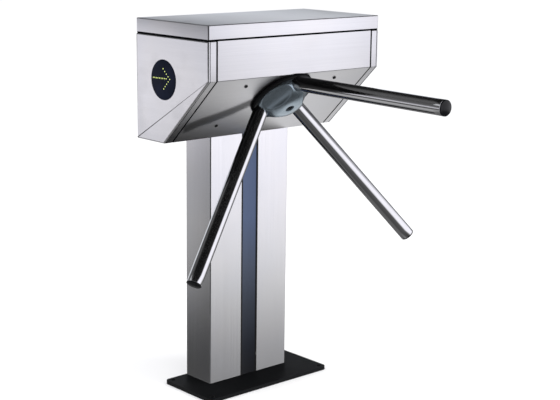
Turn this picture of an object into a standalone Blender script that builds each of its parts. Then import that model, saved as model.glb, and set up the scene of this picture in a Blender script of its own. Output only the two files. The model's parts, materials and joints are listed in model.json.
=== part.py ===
"""Single-column tripod turnstile with a visitor counter.

A sloped-front cabinet stands on a two-section column and a flat floor plate.  A
three-arm hub turns about an axis square to the sloped front panel and drives, inside
the cabinet, an index cam, a twelve-notch lock wheel and a geared counter.

Frame: origin at the centre of the floor plate's underside, +Z up, -Y the passage side,
+X along the cabinet.  Units: metres.
"""

import math

import bmesh
import bpy
from mathutils import Matrix, Vector

# ------------------------------------------------------------------ driving dimensions
GAP = 0.0003  # clearance between neighbouring pieces
SHEET = 0.0015  # stainless sheet thickness

PLATE_X, PLATE_Y, PLATE_Z = 0.412, 0.197, 0.010  # floor plate's length, width, thickness
PLATE_CORNER = 0.012
ANCHOR_X, ANCHOR_Y, ANCHOR_R = 0.190, 0.083, 0.006  # anchor hole offsets and radius
CABLE_Y, CABLE_WAY_R = 0.046, 0.020  # cable way through plate, flange and cabinet floor

COLUMN_X, COLUMN_FRONT, COLUMN_BACK = 0.1337, -0.0055, 0.0975  # half width, y extents
STRIP_X = 0.0273  # half width of the dark centre strip

CAB_X, CAB_FRONT, CAB_BACK = 0.286, -0.185, 0.102  # cabinet half length, y extents
CAB_BOTTOM, CAB_TOP = 0.676, 0.980  # cabinet underside and top of the lid
LID_HEIGHT = 0.0340  # height of the lid's skirt
SEAM = 0.9415  # top edge of the cabinet's sheets; the seal fills up to the lid
SLOPE_Z = 0.846  # where the front turns into the slope
TILT = math.radians(45.9)  # hub axis below the horizontal, square to the slope
SLOPE_Y = CAB_FRONT + (SLOPE_Z - CAB_BOTTOM) * math.tan(TILT)  # slope's foot at the floor
FRAME_X = (0.2622, 0.2808)  # end frame, inner and outer face
PANEL_X = 0.2572  # half length of the front, rear and floor sheets
DISPLAY, DISPLAY_R = (-0.0099, 0.8349), 0.050  # direction display: (y, z), radius

HUB_DROP = 0.0825  # from the slope's top edge down the slope to the hub axis
OPENING_R = 0.0785  # hub opening in the sloped panel
SHAFT_R = 0.0122
# panel screws in the hub frame (x, y)
SCREWS = [(x, y) for y in (0.0512, -0.1088) for x in (-0.150, 0.150)]

HINGE = (0.1075, 0.9437)  # lid hinge axis (y, z)
LOCK = (-0.0415, 0.925)  # lid lock axis (y, z)

# --------------------------------------------------------------------- an empty scene
for old in list(bpy.data.objects):
    bpy.data.objects.remove(old, do_unlink=True)

PARTS = bpy.data.collections.new("tripod_turnstile")
CUTTERS = bpy.data.collections.new("cutters")
for group in (PARTS, CUTTERS):
    bpy.context.scene.collection.children.link(group)


def material(name, colour, roughness, metallic=0.0):
    made = bpy.data.materials.new(name)
    made.use_nodes = True
    shader = made.node_tree.nodes["Principled BSDF"]
    shader.inputs["Base Color"].default_value = (*colour, 1.0)
    shader.inputs["Roughness"].default_value = roughness
    shader.inputs["Metallic"].default_value = metallic
    return made


BRUSHED = material("brushed_steel", (0.72, 0.72, 0.76), roughness=0.32, metallic=1.0)
POLISHED = material("polished_steel", (0.62, 0.62, 0.64), roughness=0.08, metallic=1.0)
CAST = material("cast_hub", (0.36, 0.40, 0.44), roughness=0.38, metallic=1.0)
STEEL = material("zinc_steel", (0.55, 0.56, 0.58), roughness=0.45, metallic=1.0)
BEARING = material("bearing_steel", (0.60, 0.60, 0.62), roughness=0.2, metallic=1.0)
BLACK_PAINT = material("black_paint", (0.02, 0.02, 0.02), roughness=0.55)
BLACK_PLASTIC = material("black_plastic", (0.015, 0.015, 0.017), roughness=0.4)
RUBBER = material("seal_rubber", (0.01, 0.01, 0.01), roughness=0.8)
DARK_STRIP = material("dark_strip", (0.03, 0.05, 0.11), roughness=0.3)
LENS = material("display_lens", (0.01, 0.012, 0.016), roughness=0.15)
BOARD = material("circuit_board", (0.02, 0.16, 0.07), roughness=0.5)
COIL = material("solenoid_coil", (0.05, 0.05, 0.06), roughness=0.5)
BRASS = material("brass", (0.75, 0.58, 0.25), roughness=0.3, metallic=1.0)


# ----------------------------------------------------------------------------- frames
def axes_frame(x_axis, y_axis, z_axis, origin=(0, 0, 0)):
    made = Matrix((x_axis, y_axis, z_axis)).transposed().to_4x4()
    made.translation = origin
    return made


ALONG_X = axes_frame((0, 1, 0), (0, 0, 1), (1, 0, 0))  # an outline in (y, z)
ALONG_Y = axes_frame((1, 0, 0), (0, 0, 1), (0, 1, 0))  # an outline in (x, z), mirrored
ALONG_Z = Matrix.Identity(4)

# hub frame: X along the cabinet, Y up the slope, Z out of the panel
OUTWARDS = Vector((0, -math.cos(TILT), -math.sin(TILT)))
UP_SLOPE = Vector((0, -math.sin(TILT), math.cos(TILT)))
HUB_FOOT = Vector((0, CAB_FRONT, SLOPE_Z)) - UP_SLOPE * HUB_DROP
HUB_FRAME = axes_frame((1, 0, 0), UP_SLOPE, OUTWARDS, HUB_FOOT)


# ---------------------------------------------------------------------- solid shapes
def solid(name, shape, finish, parent):
    """An object from a bmesh; one without a finish is a hidden boolean cutter."""
    bmesh.ops.remove_doubles(shape, verts=shape.verts, dist=1e-6)
    bmesh.ops.recalc_face_normals(shape, faces=shape.faces)
    mesh = bpy.data.meshes.new(name)
    shape.to_mesh(mesh)
    shape.free()
    made = bpy.data.objects.new(name, mesh)
    made.parent = parent
    if finish:
        PARTS.objects.link(made)
        mesh.materials.append(finish)
    else:
        CUTTERS.objects.link(made)
        made.hide_render = True
        made.display_type = "WIRE"
    return made


def smooth(piece, sharp_degrees):
    piece.data.shade_smooth()
    piece.data.set_sharp_from_angle(angle=math.radians(sharp_degrees))
    return piece


def box(name, low, high, finish=None, parent=None):
    size = [top - bottom for bottom, top in zip(low, high)]
    middle = [(top + bottom) / 2 for bottom, top in zip(low, high)]
    place = Matrix.Translation(middle) @ Matrix.Diagonal((*size, 1.0))
    shape = bmesh.new()
    bmesh.ops.create_cube(shape, size=1.0, matrix=place)
    return solid(name, shape, finish, parent)


def rod(name, radius, span, segments, finish=None, at=(0, 0), frame=ALONG_Z, parent=None):
    """A cylinder over a span of its frame's Z, centred on (x, y) in that frame."""
    start, end = span
    shape = bmesh.new()
    bmesh.ops.create_cone(
        shape,
        cap_ends=True,
        segments=segments,
        radius1=radius,
        radius2=radius,
        depth=end - start,
        matrix=frame @ Matrix.Translation((*at, (start + end) / 2)),
    )
    return smooth(solid(name, shape, finish, parent), 40)


def evaluated(helper):
    """The evaluated shape of a temporary object as a bmesh; the object is removed."""
    bpy.context.view_layer.update()
    depsgraph = bpy.context.evaluated_depsgraph_get()
    mesh = bpy.data.meshes.new_from_object(helper.evaluated_get(depsgraph))
    bpy.data.objects.remove(helper, do_unlink=True)
    shape = bmesh.new()
    shape.from_mesh(mesh)
    bpy.data.meshes.remove(mesh)
    return shape


def plate(name, outlines, span, finish=None, frame=ALONG_Z, parent=None):
    """An outline with holes as a filled 2D curve, thickened over a span of Z."""
    start, end = span
    curve = bpy.data.curves.new(name, "CURVE")
    curve.dimensions = "2D"
    curve.fill_mode = "BOTH"
    curve.extrude = (end - start) / 2
    for outline in outlines:
        add_spline(curve, [(x, y, 0) for x, y in outline]).use_cyclic_u = True
    helper = bpy.data.objects.new(name + "_curve", curve)
    CUTTERS.objects.link(helper)
    shape = evaluated(helper)
    shape.transform(frame @ Matrix.Translation((0, 0, (start + end) / 2)))
    return solid(name, shape, finish, parent)


def turned(name, profile, steps, finish, parent):
    """A turned shape about +Z from a closed profile of (radius, z) points."""
    section = bmesh.new()
    verts = [section.verts.new((radius, 0, z)) for radius, z in profile]
    for ends in zip(verts, verts[1:] + verts[:1]):
        section.edges.new(ends)
    mesh = bpy.data.meshes.new(name)
    section.to_mesh(mesh)
    section.free()
    helper = bpy.data.objects.new(name + "_profile", mesh)
    CUTTERS.objects.link(helper)
    screw = helper.modifiers.new("turn", "SCREW")
    screw.axis = "Z"
    screw.angle = 2 * math.pi
    screw.steps = screw.render_steps = steps
    screw.use_merge_vertices = True
    screw.merge_threshold = 1e-5
    return smooth(solid(name, evaluated(helper), finish, parent), 30)


def add_spline(curve, points):
    spline = curve.splines.new("POLY")
    spline.points.add(len(points) - 1)
    for point, place in zip(spline.points, points):
        point.co = (*place, 1)
    return spline


def wire(name, radius, points, finish, parent=None):
    """A round wire along points, kept as a curve object."""
    curve = bpy.data.curves.new(name, "CURVE")
    curve.dimensions = "3D"
    curve.bevel_depth = radius
    curve.bevel_resolution = 1
    curve.use_fill_caps = True
    add_spline(curve, points)
    curve.materials.append(finish)
    made = bpy.data.objects.new(name, curve)
    PARTS.objects.link(made)
    made.parent = parent


def boolean(target, tools, operation):
    for tool in tools:
        made = target.modifiers.new(tool.name, "BOOLEAN")
        made.operation = operation
        made.solver = "EXACT"
        made.object = tool


def cut(target, *tools):
    boolean(target, tools, "DIFFERENCE")


def join(target, *tools):
    boolean(target, tools, "UNION")


# --------------------------------------------------------------------------- outlines
def circle(x, y, radius, count=24):
    angles = [2 * math.pi * i / count for i in range(count)]
    return [(x + radius * math.cos(a), y + radius * math.sin(a)) for a in angles]


def arc(x, y, radius, first, last, count):
    """Points on an arc between two angles in degrees, both ends included."""
    angles = [math.radians(first + (last - first) * i / count) for i in range(count + 1)]
    return [(x + radius * math.cos(a), y + radius * math.sin(a)) for a in angles]


def rectangle(x0, y0, x1, y1):
    return [(x0, y0), (x1, y0), (x1, y1), (x0, y1)]


def rounded(x0, y0, x1, y1, radius):
    return (
        arc(x1 - radius, y0 + radius, radius, -90, 0, 5)
        + arc(x1 - radius, y1 - radius, radius, 0, 90, 5)
        + arc(x0 + radius, y1 - radius, radius, 90, 180, 5)
        + arc(x0 + radius, y0 + radius, radius, 180, 270, 5)
    )


def offset(path, depth, closed=True):
    """A path moved to its left by depth, with mitred corners."""
    sides = [
        Vector((x1 - x0, y1 - y0)).normalized()
        for (x0, y0), (x1, y1) in zip(path, path[1:] + path[:1])
    ]
    if closed:
        before, after = sides[-1:] + sides[:-1], sides
    else:
        before, after = sides[:1] + sides[:-1], sides[:-1] + sides[-2:-1]
    moved = []
    for (x, y), arriving, leaving in zip(path, before, after):
        normal_in = Vector((-arriving.y, arriving.x))
        normal_out = Vector((-leaving.y, leaving.x))
        mitre = (normal_in + normal_out) / (1 + normal_in.dot(normal_out))
        moved.append((x + mitre.x * depth, y + mitre.y * depth))
    return moved


def bent_sheet(path, thickness):
    """The outline of a bent sheet: an open path and the same path moved to its left."""
    return path + offset(path, thickness, closed=False)[::-1]


def mirrored(sign, inner, outer):
    """The span between two distances from the middle, on the side given by sign."""
    return tuple(sorted((sign * inner, sign * outer)))


# ----------------------------------------------------------------------------- joints
def empty(name, location=(0, 0, 0), parent=None):
    made = bpy.data.objects.new(name, None)
    made.empty_display_size = 0.03
    PARTS.objects.link(made)
    made.location = location
    made.parent = parent
    return made


def pivot(name, origin, *pieces, parent=None, parent_origin=(0, 0, 0)):
    """An empty on a joint's axis that carries pieces; both origins in the pieces' frame."""
    made = empty(name, [c - p for c, p in zip(origin, parent_origin)], parent)
    for piece in pieces:
        piece.parent = made
        piece.matrix_parent_inverse = Matrix.Translation([-c for c in origin])
    return made


# ---------------------------------------------------------------- floor plate, column
COLUMN_Z = (PLATE_Z + GAP, CAB_BOTTOM - GAP)
FLANGE_DROP = 0.0083  # from the column's top to the flange's underside
CORE_X, CORE_WALL = STRIP_X - 0.002, 0.003
CORE_FRONT, CORE_BACK = COLUMN_FRONT + 0.0035, COLUMN_BACK - 0.0035
SHELL_INNER = STRIP_X + 0.001
FLANGE_X = COLUMN_X - SHEET - 0.002
STRIP_INSET = (0.0007, 0.0031)  # strip faces, behind the column's outer faces
CABLE_WAY = circle(0, CABLE_Y, CABLE_WAY_R)
# bolt holes shared by the column's flange and the cabinet floor
JOINT_HOLES = [circle(x, y, 0.0055, 12) for x in (-0.100, 0.100) for y in (0.018, 0.078)]


def build_base_plate():
    anchors = [
        circle(sx * ANCHOR_X, sy * ANCHOR_Y, ANCHOR_R, 16) for sx in (-1, 1) for sy in (-1, 1)
    ]
    outer = rounded(-PLATE_X / 2, -PLATE_Y / 2, PLATE_X / 2, PLATE_Y / 2, PLATE_CORNER)
    plate("base_plate", [outer, *anchors, CABLE_WAY], (0, PLATE_Z), BLACK_PAINT)


def build_column():
    bottom, top = COLUMN_Z
    core = rectangle(-CORE_X, CORE_FRONT, CORE_X, CORE_BACK)
    core_z = (bottom, top - FLANGE_DROP - GAP)
    plate("column_core", [core, offset(core, CORE_WALL)], core_z, BLACK_PAINT)

    right = rectangle(SHELL_INNER, COLUMN_FRONT, COLUMN_X, COLUMN_BACK)
    left = [(-x, y) for x, y in right[::-1]]
    for side, channel in (("right", right), ("left", left)):
        plate("column_shell_" + side, [bent_sheet(channel, SHEET)], COLUMN_Z, BRUSHED)

    for side, face, inward in (("front", COLUMN_FRONT, 1), ("rear", COLUMN_BACK, -1)):
        y0, y1 = sorted(face + inward * depth for depth in STRIP_INSET)
        box("column_strip_" + side, (-STRIP_X, y0, bottom), (STRIP_X, y1, top), DARK_STRIP)

    flange = rectangle(-FLANGE_X, CORE_FRONT, FLANGE_X, CORE_BACK)
    flange_z = (top - FLANGE_DROP, top)
    plate("column_top_flange", [flange, CABLE_WAY, *JOINT_HOLES], flange_z, BLACK_PAINT)


# ------------------------------------------------------------------------ the cabinet
# end section (y, z)
SECTION = [
    (CAB_FRONT, SLOPE_Z),
    (SLOPE_Y, CAB_BOTTOM),
    (CAB_BACK, CAB_BOTTOM),
    (CAB_BACK, SEAM),
    (CAB_FRONT, SEAM),
]
LED_BOARD_HALF = 0.043
LED_BOARD_DEPTH = (0.0060, 0.0076)  # board faces, inside the end panel's outer face


def build_cabinet():
    floor = rectangle(-PANEL_X, SLOPE_Y + 0.0016, PANEL_X, CAB_BACK)
    floor_z = (CAB_BOTTOM, CAB_BOTTOM + SHEET)
    plate("cabinet_floor", [floor, CABLE_WAY, *JOINT_HOLES], floor_z, BRUSHED)
    box(
        "rear_panel",
        (-PANEL_X, CAB_BACK - SHEET, CAB_BOTTOM + SHEET + GAP),
        (PANEL_X, CAB_BACK, SEAM),
        BRUSHED,
    )
    build_cabinet_end("left", -1, [])
    build_cabinet_end("right", 1, [circle(*LOCK, 0.009, 20)])

    front = bent_sheet([(CAB_FRONT, SEAM), *SECTION[:2]], SHEET)
    panel = plate("front_panel", [front], (-PANEL_X, PANEL_X), BRUSHED, ALONG_X)
    through = (-0.02, 0.02)
    cut(panel, rod("hub_opening", OPENING_R, through, 64, frame=HUB_FRAME))
    for i, place in enumerate(SCREWS, 1):
        cut(panel, rod(f"screw_way_{i}", 0.0034, through, 12, at=place, frame=HUB_FRAME))


def build_cabinet_end(side, sign, extra_holes):
    outlines = [SECTION, offset(SECTION, 0.005)]
    plate("end_frame_" + side, outlines, mirrored(sign, *FRAME_X), BRUSHED, ALONG_X)

    outlines = [SECTION, circle(*DISPLAY, DISPLAY_R + GAP, 40), *extra_holes]
    panel_x = mirrored(sign, CAB_X, CAB_X - SHEET)
    plate("end_panel_" + side, outlines, panel_x, BRUSHED, ALONG_X)

    lens_x = mirrored(sign, CAB_X + 0.0005, CAB_X - 0.0030)
    rod("display_lens_" + side, DISPLAY_R, lens_x, 40, LENS, DISPLAY, ALONG_X)

    near, far = mirrored(sign, *[CAB_X - depth for depth in LED_BOARD_DEPTH])
    low = [c - LED_BOARD_HALF for c in DISPLAY]
    high = [c + LED_BOARD_HALF for c in DISPLAY]
    box("led_board_" + side, (near, *low), (far, *high), BOARD)


# -------------------------------------------------------------------- lid, hinge, lock
SEAL_INSET, SEAL_WIDTH = 0.0008, 0.008
# the catch is an angle strip: x of its face and of its hook's end, z of the hook
CATCH_X, CATCH_END, CATCH_Z, CATCH_SHEET = 0.2570, 0.2370, 0.9130, 0.0025
HINGE_HALF = 0.200
HINGE_LEAF_Z = (0.912, 0.973)  # bottom of the lower leaf, top of the upper one
LEAF_CLEAR = 0.0046  # from the hinge axis to each leaf's edge
KNUCKLES = [  # x spans, alternately on the lower and the upper leaf
    (-0.200, -0.121), (-0.120, -0.041), (-0.040, 0.040), (0.041, 0.120), (0.121, 0.200),
]


def build_lid():
    """The lid and its seal, with the catch joined on inside the lid's right end."""
    skirt_z = CAB_TOP - LID_HEIGHT
    lid = box("lid", (-CAB_X, CAB_FRONT, skirt_z), (CAB_X, CAB_BACK, CAB_TOP), BRUSHED)
    hollow = box(
        "lid_hollow",
        (-CAB_X + SHEET, CAB_FRONT + SHEET, skirt_z - 0.01),
        (CAB_X - SHEET, CAB_BACK - SHEET, CAB_TOP - SHEET),
    )
    cut(lid, hollow)
    angle = [(CATCH_X, CAB_TOP - 0.0010), (CATCH_X, CATCH_Z), (CATCH_END, CATCH_Z)]
    catch_y = (LOCK[0] - 0.034, LOCK[0] - 0.014)
    outline = bent_sheet(angle, -CATCH_SHEET)
    join(lid, plate("catch_profile", [outline], catch_y, frame=ALONG_Y))

    outer = rectangle(
        -CAB_X + SEAL_INSET, CAB_FRONT + SEAL_INSET, CAB_X - SEAL_INSET, CAB_BACK - SEAL_INSET
    )
    seal_z = (SEAM + GAP, skirt_z - GAP)
    plate("lid_seal", [outer, offset(outer, SEAL_WIDTH)], seal_z, RUBBER)
    return lid


def build_hinge():
    """Piano hinge on the rear seam: three knuckles and the pin below, two knuckles above."""
    front, back = CAB_BACK + GAP, CAB_BACK + 0.0028
    axis_z = HINGE[1]
    bottom, top = HINGE_LEAF_Z
    lower = box(
        "lid_hinge_lower",
        (-HINGE_HALF, front, bottom),
        (HINGE_HALF, back, axis_z - LEAF_CLEAR),
        STEEL,
    )
    upper = box(
        "lid_hinge_upper",
        (-HINGE_HALF, front, axis_z + LEAF_CLEAR),
        (HINGE_HALF, back, top),
        STEEL,
    )
    for i, (x0, x1) in enumerate(KNUCKLES):
        leaf, way = (upper, 1) if i % 2 else (lower, -1)
        low, high = sorted((axis_z, axis_z + way * 0.0060))
        join(
            leaf,
            box(f"knuckle_tab_{i}", (x0, front, low), (x1, back, high)),
            rod(f"knuckle_{i}", 0.004, (x0, x1), 16, at=HINGE, frame=ALONG_X),
        )
        if leaf is upper:
            span = (x0 - 0.001, x1 + 0.001)
            cut(upper, rod(f"knuckle_bore_{i}", 0.0019, span, 12, at=HINGE, frame=ALONG_X))
    join(lower, rod("hinge_pin", 0.0015, (-0.199, 0.199), 12, at=HINGE, frame=ALONG_X))
    return upper


def build_lock():
    """Cam lock in the right end panel."""
    lock_y, lock_z = LOCK

    def lock_rod(name, radius, start, end, segments, finish=None):
        return rod(name, radius, (start, end), segments, finish, LOCK, ALONG_X)

    barrel = lock_rod("lock_barrel", 0.0085, 0.2590, CAB_X + 0.001, 20, STEEL)
    join(barrel, lock_rod("lock_head", 0.0115, CAB_X + GAP, CAB_X + 0.0030, 24))
    cut(barrel, lock_rod("lock_bore", 0.0059, 0.2550, CAB_X + 0.0050, 20))

    cam = lock_rod("lock_cam", 0.0055, 0.2480, CAB_X + 0.0032, 20, STEEL)
    half_width, half_height = 0.0007, 0.0035  # key slot
    slot = box(
        "key_slot",
        (CAB_X, lock_y - half_width, lock_z - half_height),
        (CAB_X + 0.01, lock_y + half_width, lock_z + half_height),
    )
    cut(cam, slot)
    tip_half, tip_z = 0.0055, lock_z + 0.028
    outline = arc(lock_y, lock_z, 0.0075, 180, 360, 8)
    outline += [(lock_y + tip_half, tip_z), (lock_y - tip_half, tip_z)]
    join(cam, plate("lock_tongue", [outline], (0.2445, 0.2485), frame=ALONG_X))
    pivot("lock_axis", (0, *LOCK), cam)


# ------------------------------------------------- mechanism, in the hub axis's frame
# Local z is the height above the slope, so everything inside the cabinet has z below 0.
MECH_PLATE_Z = (-0.025, -0.017)
CARRIER_Z = (-0.0790, -0.0760)
GEAR_Z = (-0.087, -0.081)
CAM_Z = (-0.096, -0.089)
LEVER_Z = (-0.1005, -0.0975)
WHEEL_Z = (-0.110, -0.102)
BEHIND_CARRIER = CARRIER_Z[1] + GAP  # end of the pieces on the carrier's hub side

SHAFT_HOLE = circle(0, 0, SHAFT_R + GAP)
BEARING_R = 0.0235
HOUSING_R, HOUSING_FLANGE_R, HOUSING_FLANGE = 0.0310, 0.0460, 0.006

MODULE, GEAR_TEETH, PINION_TEETH = 0.002, 36, 12
CENTRE_DISTANCE = MODULE * (GEAR_TEETH + PINION_TEETH) / 2
PINION_AT = (0, -CENTRE_DISTANCE)
PRESSURE_ANGLE = math.radians(20)
ADDENDUM, DEDENDUM = 0.80, 1.05  # in modules
TOOTH_FILL = 0.86  # tooth thickness over its full share of the pitch

CAM_R, CAM_LIFT, CAM_LOBES = 0.037, 0.003, 3
NOTCHES, WHEEL_R, NOTCH_R = 12, 0.045, 0.0375
# one notch of the lock wheel (degrees from the notch's middle, radius)
NOTCH = [(-6.5, WHEEL_R), (-5.5, NOTCH_R), (5.5, NOTCH_R), (6.5, WHEEL_R), (15.0, WHEEL_R)]

FOLLOWER = (-0.055, 0.052)  # follower lever's pivot
ROLLER_Y, ROLLER_R = 0.0496, 0.009
LEVER_TAIL = [  # follower lever beyond its rounded roller end (x, y)
    (-0.055, 0.0605), (-0.080, 0.0600), (-0.086, 0.0560),
    (-0.086, 0.0490), (-0.080, 0.0450), (-0.055, 0.0440),
]
SPRING_X, SPRING_Y, SPRING_Z = -0.078, 0.0625, -0.0990  # spring axis, start in y
SPRING_R, SPRING_LENGTH, SPRING_TURNS, SPRING_STEPS = 0.0038, 0.0315, 6, 10

PAWL = (0.049, -0.034)  # exit pawl's pivot; the entry pawl mirrors it in x
PAWL_EYE_R, STUD_HOLE_R = 0.0085, 0.0043
PAWL_ARM = [  # exit pawl beyond its eye (x, y)
    (0.0525, -0.0210), (0.0525, -0.0015), (0.0460, -0.0015), (0.0460, 0.0045), (0.0575, 0.0045),
]
STUDS = [  # on the carrier plate (x, y, radius, end z)
    (*FOLLOWER, 0.0040, -0.1012),
    (PAWL[0], PAWL[1], 0.0040, -0.1112),
    (-PAWL[0], PAWL[1], 0.0040, -0.1112),
    (SPRING_X, 0.0985, 0.0030, -0.1012),
]


def build_mech_plate(mechanism):
    outlines = [rectangle(-0.168, -0.128, 0.168, 0.064), circle(0, 0, 0.0330, 32)]
    back = plate("mech_plate", outlines, MECH_PLATE_Z, STEEL, parent=mechanism)
    spacer_z = (-0.0175, -SHEET - GAP)
    for i, place in enumerate(SCREWS, 1):
        join(back, rod(f"spacer_{i}", 0.007, spacer_z, 16, at=place, parent=mechanism))
        bore = rod(f"spacer_bore_{i}", 0.0031, (-0.030, 0.0), 12, at=place, parent=mechanism)
        cut(back, bore)


def build_bearings(mechanism):
    bore = BEARING_R + GAP
    start = MECH_PLATE_Z[0] - GAP
    flange = start - HOUSING_FLANGE
    profile = [
        (bore, start), (HOUSING_FLANGE_R, start), (HOUSING_FLANGE_R, flange),
        (HOUSING_R, flange), (HOUSING_R, BEHIND_CARRIER), (bore, BEHIND_CARRIER),
    ]
    turned("bearing_housing", profile, 36, STEEL, mechanism)
    for side, span in (("front", (-0.0378, -0.0258)), ("rear", (-0.0752, -0.0632))):
        rings = [circle(0, 0, BEARING_R, 32), SHAFT_HOLE]
        plate("bearing_" + side, rings, span, BEARING, parent=mechanism)


def build_carrier(mechanism):
    outlines = [
        rectangle(-0.114, -0.070, 0.114, 0.108),
        circle(0, 0, 0.0140),
        circle(*PINION_AT, 0.0045, 12),
    ]
    carrier = plate("carrier_plate", outlines, CARRIER_Z, STEEL, parent=mechanism)
    for i, (x, y, radius, end) in enumerate(STUDS, 1):
        stud = rod(f"stud_{i}", radius, (end, -0.0765), 16, at=(x, y), parent=mechanism)
        join(carrier, stud)


def gear(teeth, phase):
    """Outline of a stub-tooth involute gear, three points a flank, with working backlash."""
    pitch = MODULE * teeth / 2
    base = pitch * math.cos(PRESSURE_ANGLE)
    tip, root = pitch + ADDENDUM * MODULE, pitch - DEDENDUM * MODULE
    half_thick = math.radians(90 / teeth) * TOOTH_FILL

    def involute(radius):
        return math.sqrt((radius / base) ** 2 - 1) - math.acos(base / radius)

    flank = []  # (radius, half angle of the tooth)
    low = max(root, base)
    for i in range(3):
        radius = low + (tip - low) * i / 2
        flank.append((radius, half_thick + involute(pitch) - involute(radius)))
    if root < low:
        flank.insert(0, (root, flank[0][1]))
    tooth = [(radius, -a) for radius, a in flank] + flank[::-1]
    out = []
    for k in range(teeth):
        middle = phase + 2 * math.pi * k / teeth
        out += [(r * math.cos(middle + a), r * math.sin(middle + a)) for r, a in tooth]
    return out


def cam_outline():
    out = []
    for i in range(48):
        angle = 2 * math.pi * i / 48
        radius = CAM_R - CAM_LIFT * math.cos(CAM_LOBES * (angle - math.pi / 2))
        out.append((radius * math.cos(angle), radius * math.sin(angle)))
    return out


def wheel_outline():
    out = []
    for k in range(NOTCHES):
        for degrees, radius in NOTCH:
            angle = math.radians(360 / NOTCHES * k + degrees)
            out.append((radius * math.cos(angle), radius * math.sin(angle)))
    return out


def build_shaft(mechanism, rotor):
    """The main shaft and the three discs it carries."""
    shaft = rod("main_shaft", SHAFT_R, (-0.120, 0.028), 28, BEARING, parent=rotor)
    cut(shaft, rod("shaft_tapping", 0.0052, (0.008, 0.040), 12, parent=mechanism))
    for name, outline, span in (
        ("drive_gear", gear(GEAR_TEETH, 0.0), GEAR_Z),
        ("index_cam", cam_outline(), CAM_Z),
        ("lock_wheel", wheel_outline(), WHEEL_Z),
    ):
        plate(name, [outline, SHAFT_HOLE], span, STEEL, parent=rotor)


def build_follower(mechanism):
    """The roller lever beside the index cam, and its return spring."""
    outlines = [
        arc(0, ROLLER_Y, 0.007, -90, 90, 6) + LEVER_TAIL,
        circle(*FOLLOWER, STUD_HOLE_R, 14),
        circle(0, ROLLER_Y, 0.0033, 12),
    ]
    lever = plate("follower_lever", outlines, LEVER_Z, STEEL)
    at = (0, ROLLER_Y)
    roller = rod("follower_roller", ROLLER_R, CAM_Z, 24, BEARING, at)
    join(roller, rod("roller_pin", 0.0030, (-0.1008, -0.095), 12, at=at, parent=mechanism))
    origin = (*FOLLOWER, 0)
    follower_axis = pivot("follower_axis", origin, lever, parent=mechanism)
    pivot("roller_axis", (*at, 0), roller, parent=follower_axis, parent_origin=origin)

    # tension coil between the lever's tail and its stud
    points = []
    steps = SPRING_TURNS * SPRING_STEPS
    for i in range(steps + 1):
        angle = 2 * math.pi * i / SPRING_STEPS
        x = SPRING_X + SPRING_R * math.cos(angle)
        z = SPRING_Z + SPRING_R * math.sin(angle)
        points.append((x, SPRING_Y + SPRING_LENGTH * i / steps, z))
    wire("follower_spring", 0.0006, points, BEARING, mechanism)


def build_pawl(side, sign, mechanism):
    """A pawl on its pivot, and the solenoid and plunger beside it."""
    outline = arc(*PAWL, PAWL_EYE_R, 0, -276.8, 16) + PAWL_ARM
    place = (sign * PAWL[0], PAWL[1])
    outlines = [[(sign * x, y) for x, y in outline], circle(*place, STUD_HOLE_R, 14)]
    pawl = plate("pawl_" + side, outlines, WHEEL_Z, STEEL)
    pivot(f"pawl_{side}_axis", (*place, 0), pawl, parent=mechanism)

    low, high = mirrored(sign, 0.074, 0.110)
    solenoid = box(
        "solenoid_" + side,
        (low, -0.014, -0.1200),
        (high, 0.016, CARRIER_Z[0] - GAP),
        COIL,
        mechanism,
    )
    axis = Matrix.Translation((0, 0.001, -0.106)) @ Matrix.Rotation(math.pi / 2, 4, "Y")

    def axis_rod(name, radius, inner, outer, segments, finish=None):
        span = mirrored(sign, inner, outer)
        return rod(name + side, radius, span, segments, finish, frame=axis, parent=mechanism)

    cut(solenoid, axis_rod("solenoid_bore_", 0.0063, 0.070, 0.115, 16))
    plunger = axis_rod("plunger_", 0.0060, 0.078, 0.116, 16, BEARING)
    join(plunger, axis_rod("plunger_tip_", 0.0020, 0.058, 0.080, 10))


def build_counter(mechanism):
    """The pinion under the drive gear, with the encoder it turns."""
    outline = gear(PINION_TEETH, math.pi / 2 + math.pi / PINION_TEETH)
    outline = [(x, y - CENTRE_DISTANCE) for x, y in outline]
    pinion = plate("counter_pinion", [outline], GEAR_Z, BRASS)
    place = {"at": PINION_AT, "parent": mechanism}
    join(pinion, rod("pinion_shaft", 0.0030, (-0.0820, -0.0600), 12, **place))
    encoder_z = (BEHIND_CARRIER, -0.0500)
    encoder = rod("counter_encoder", 0.0135, encoder_z, 24, BLACK_PLASTIC, **place)
    cut(encoder, rod("encoder_bore", 0.0034, (-0.0800, -0.0580), 12, **place))
    pivot("pinion_axis", (*PINION_AT, 0), pinion, parent=mechanism)


def build_panel_screws(mechanism):
    """The visible socket-head screws that hold the mechanism plate behind the slope."""
    for i, at in enumerate(SCREWS, 1):
        place = {"at": at, "parent": mechanism}
        screw = rod(f"panel_screw_{i}", 0.0045, (GAP, 0.0024), 16, BLACK_PAINT, **place)
        join(screw, rod(f"screw_shank_{i}", 0.0027, (-0.0200, 0.0010), 10, **place))
        cut(screw, rod(f"screw_socket_{i}", 0.0022, (0.0010, 0.0050), 6, **place))


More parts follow.
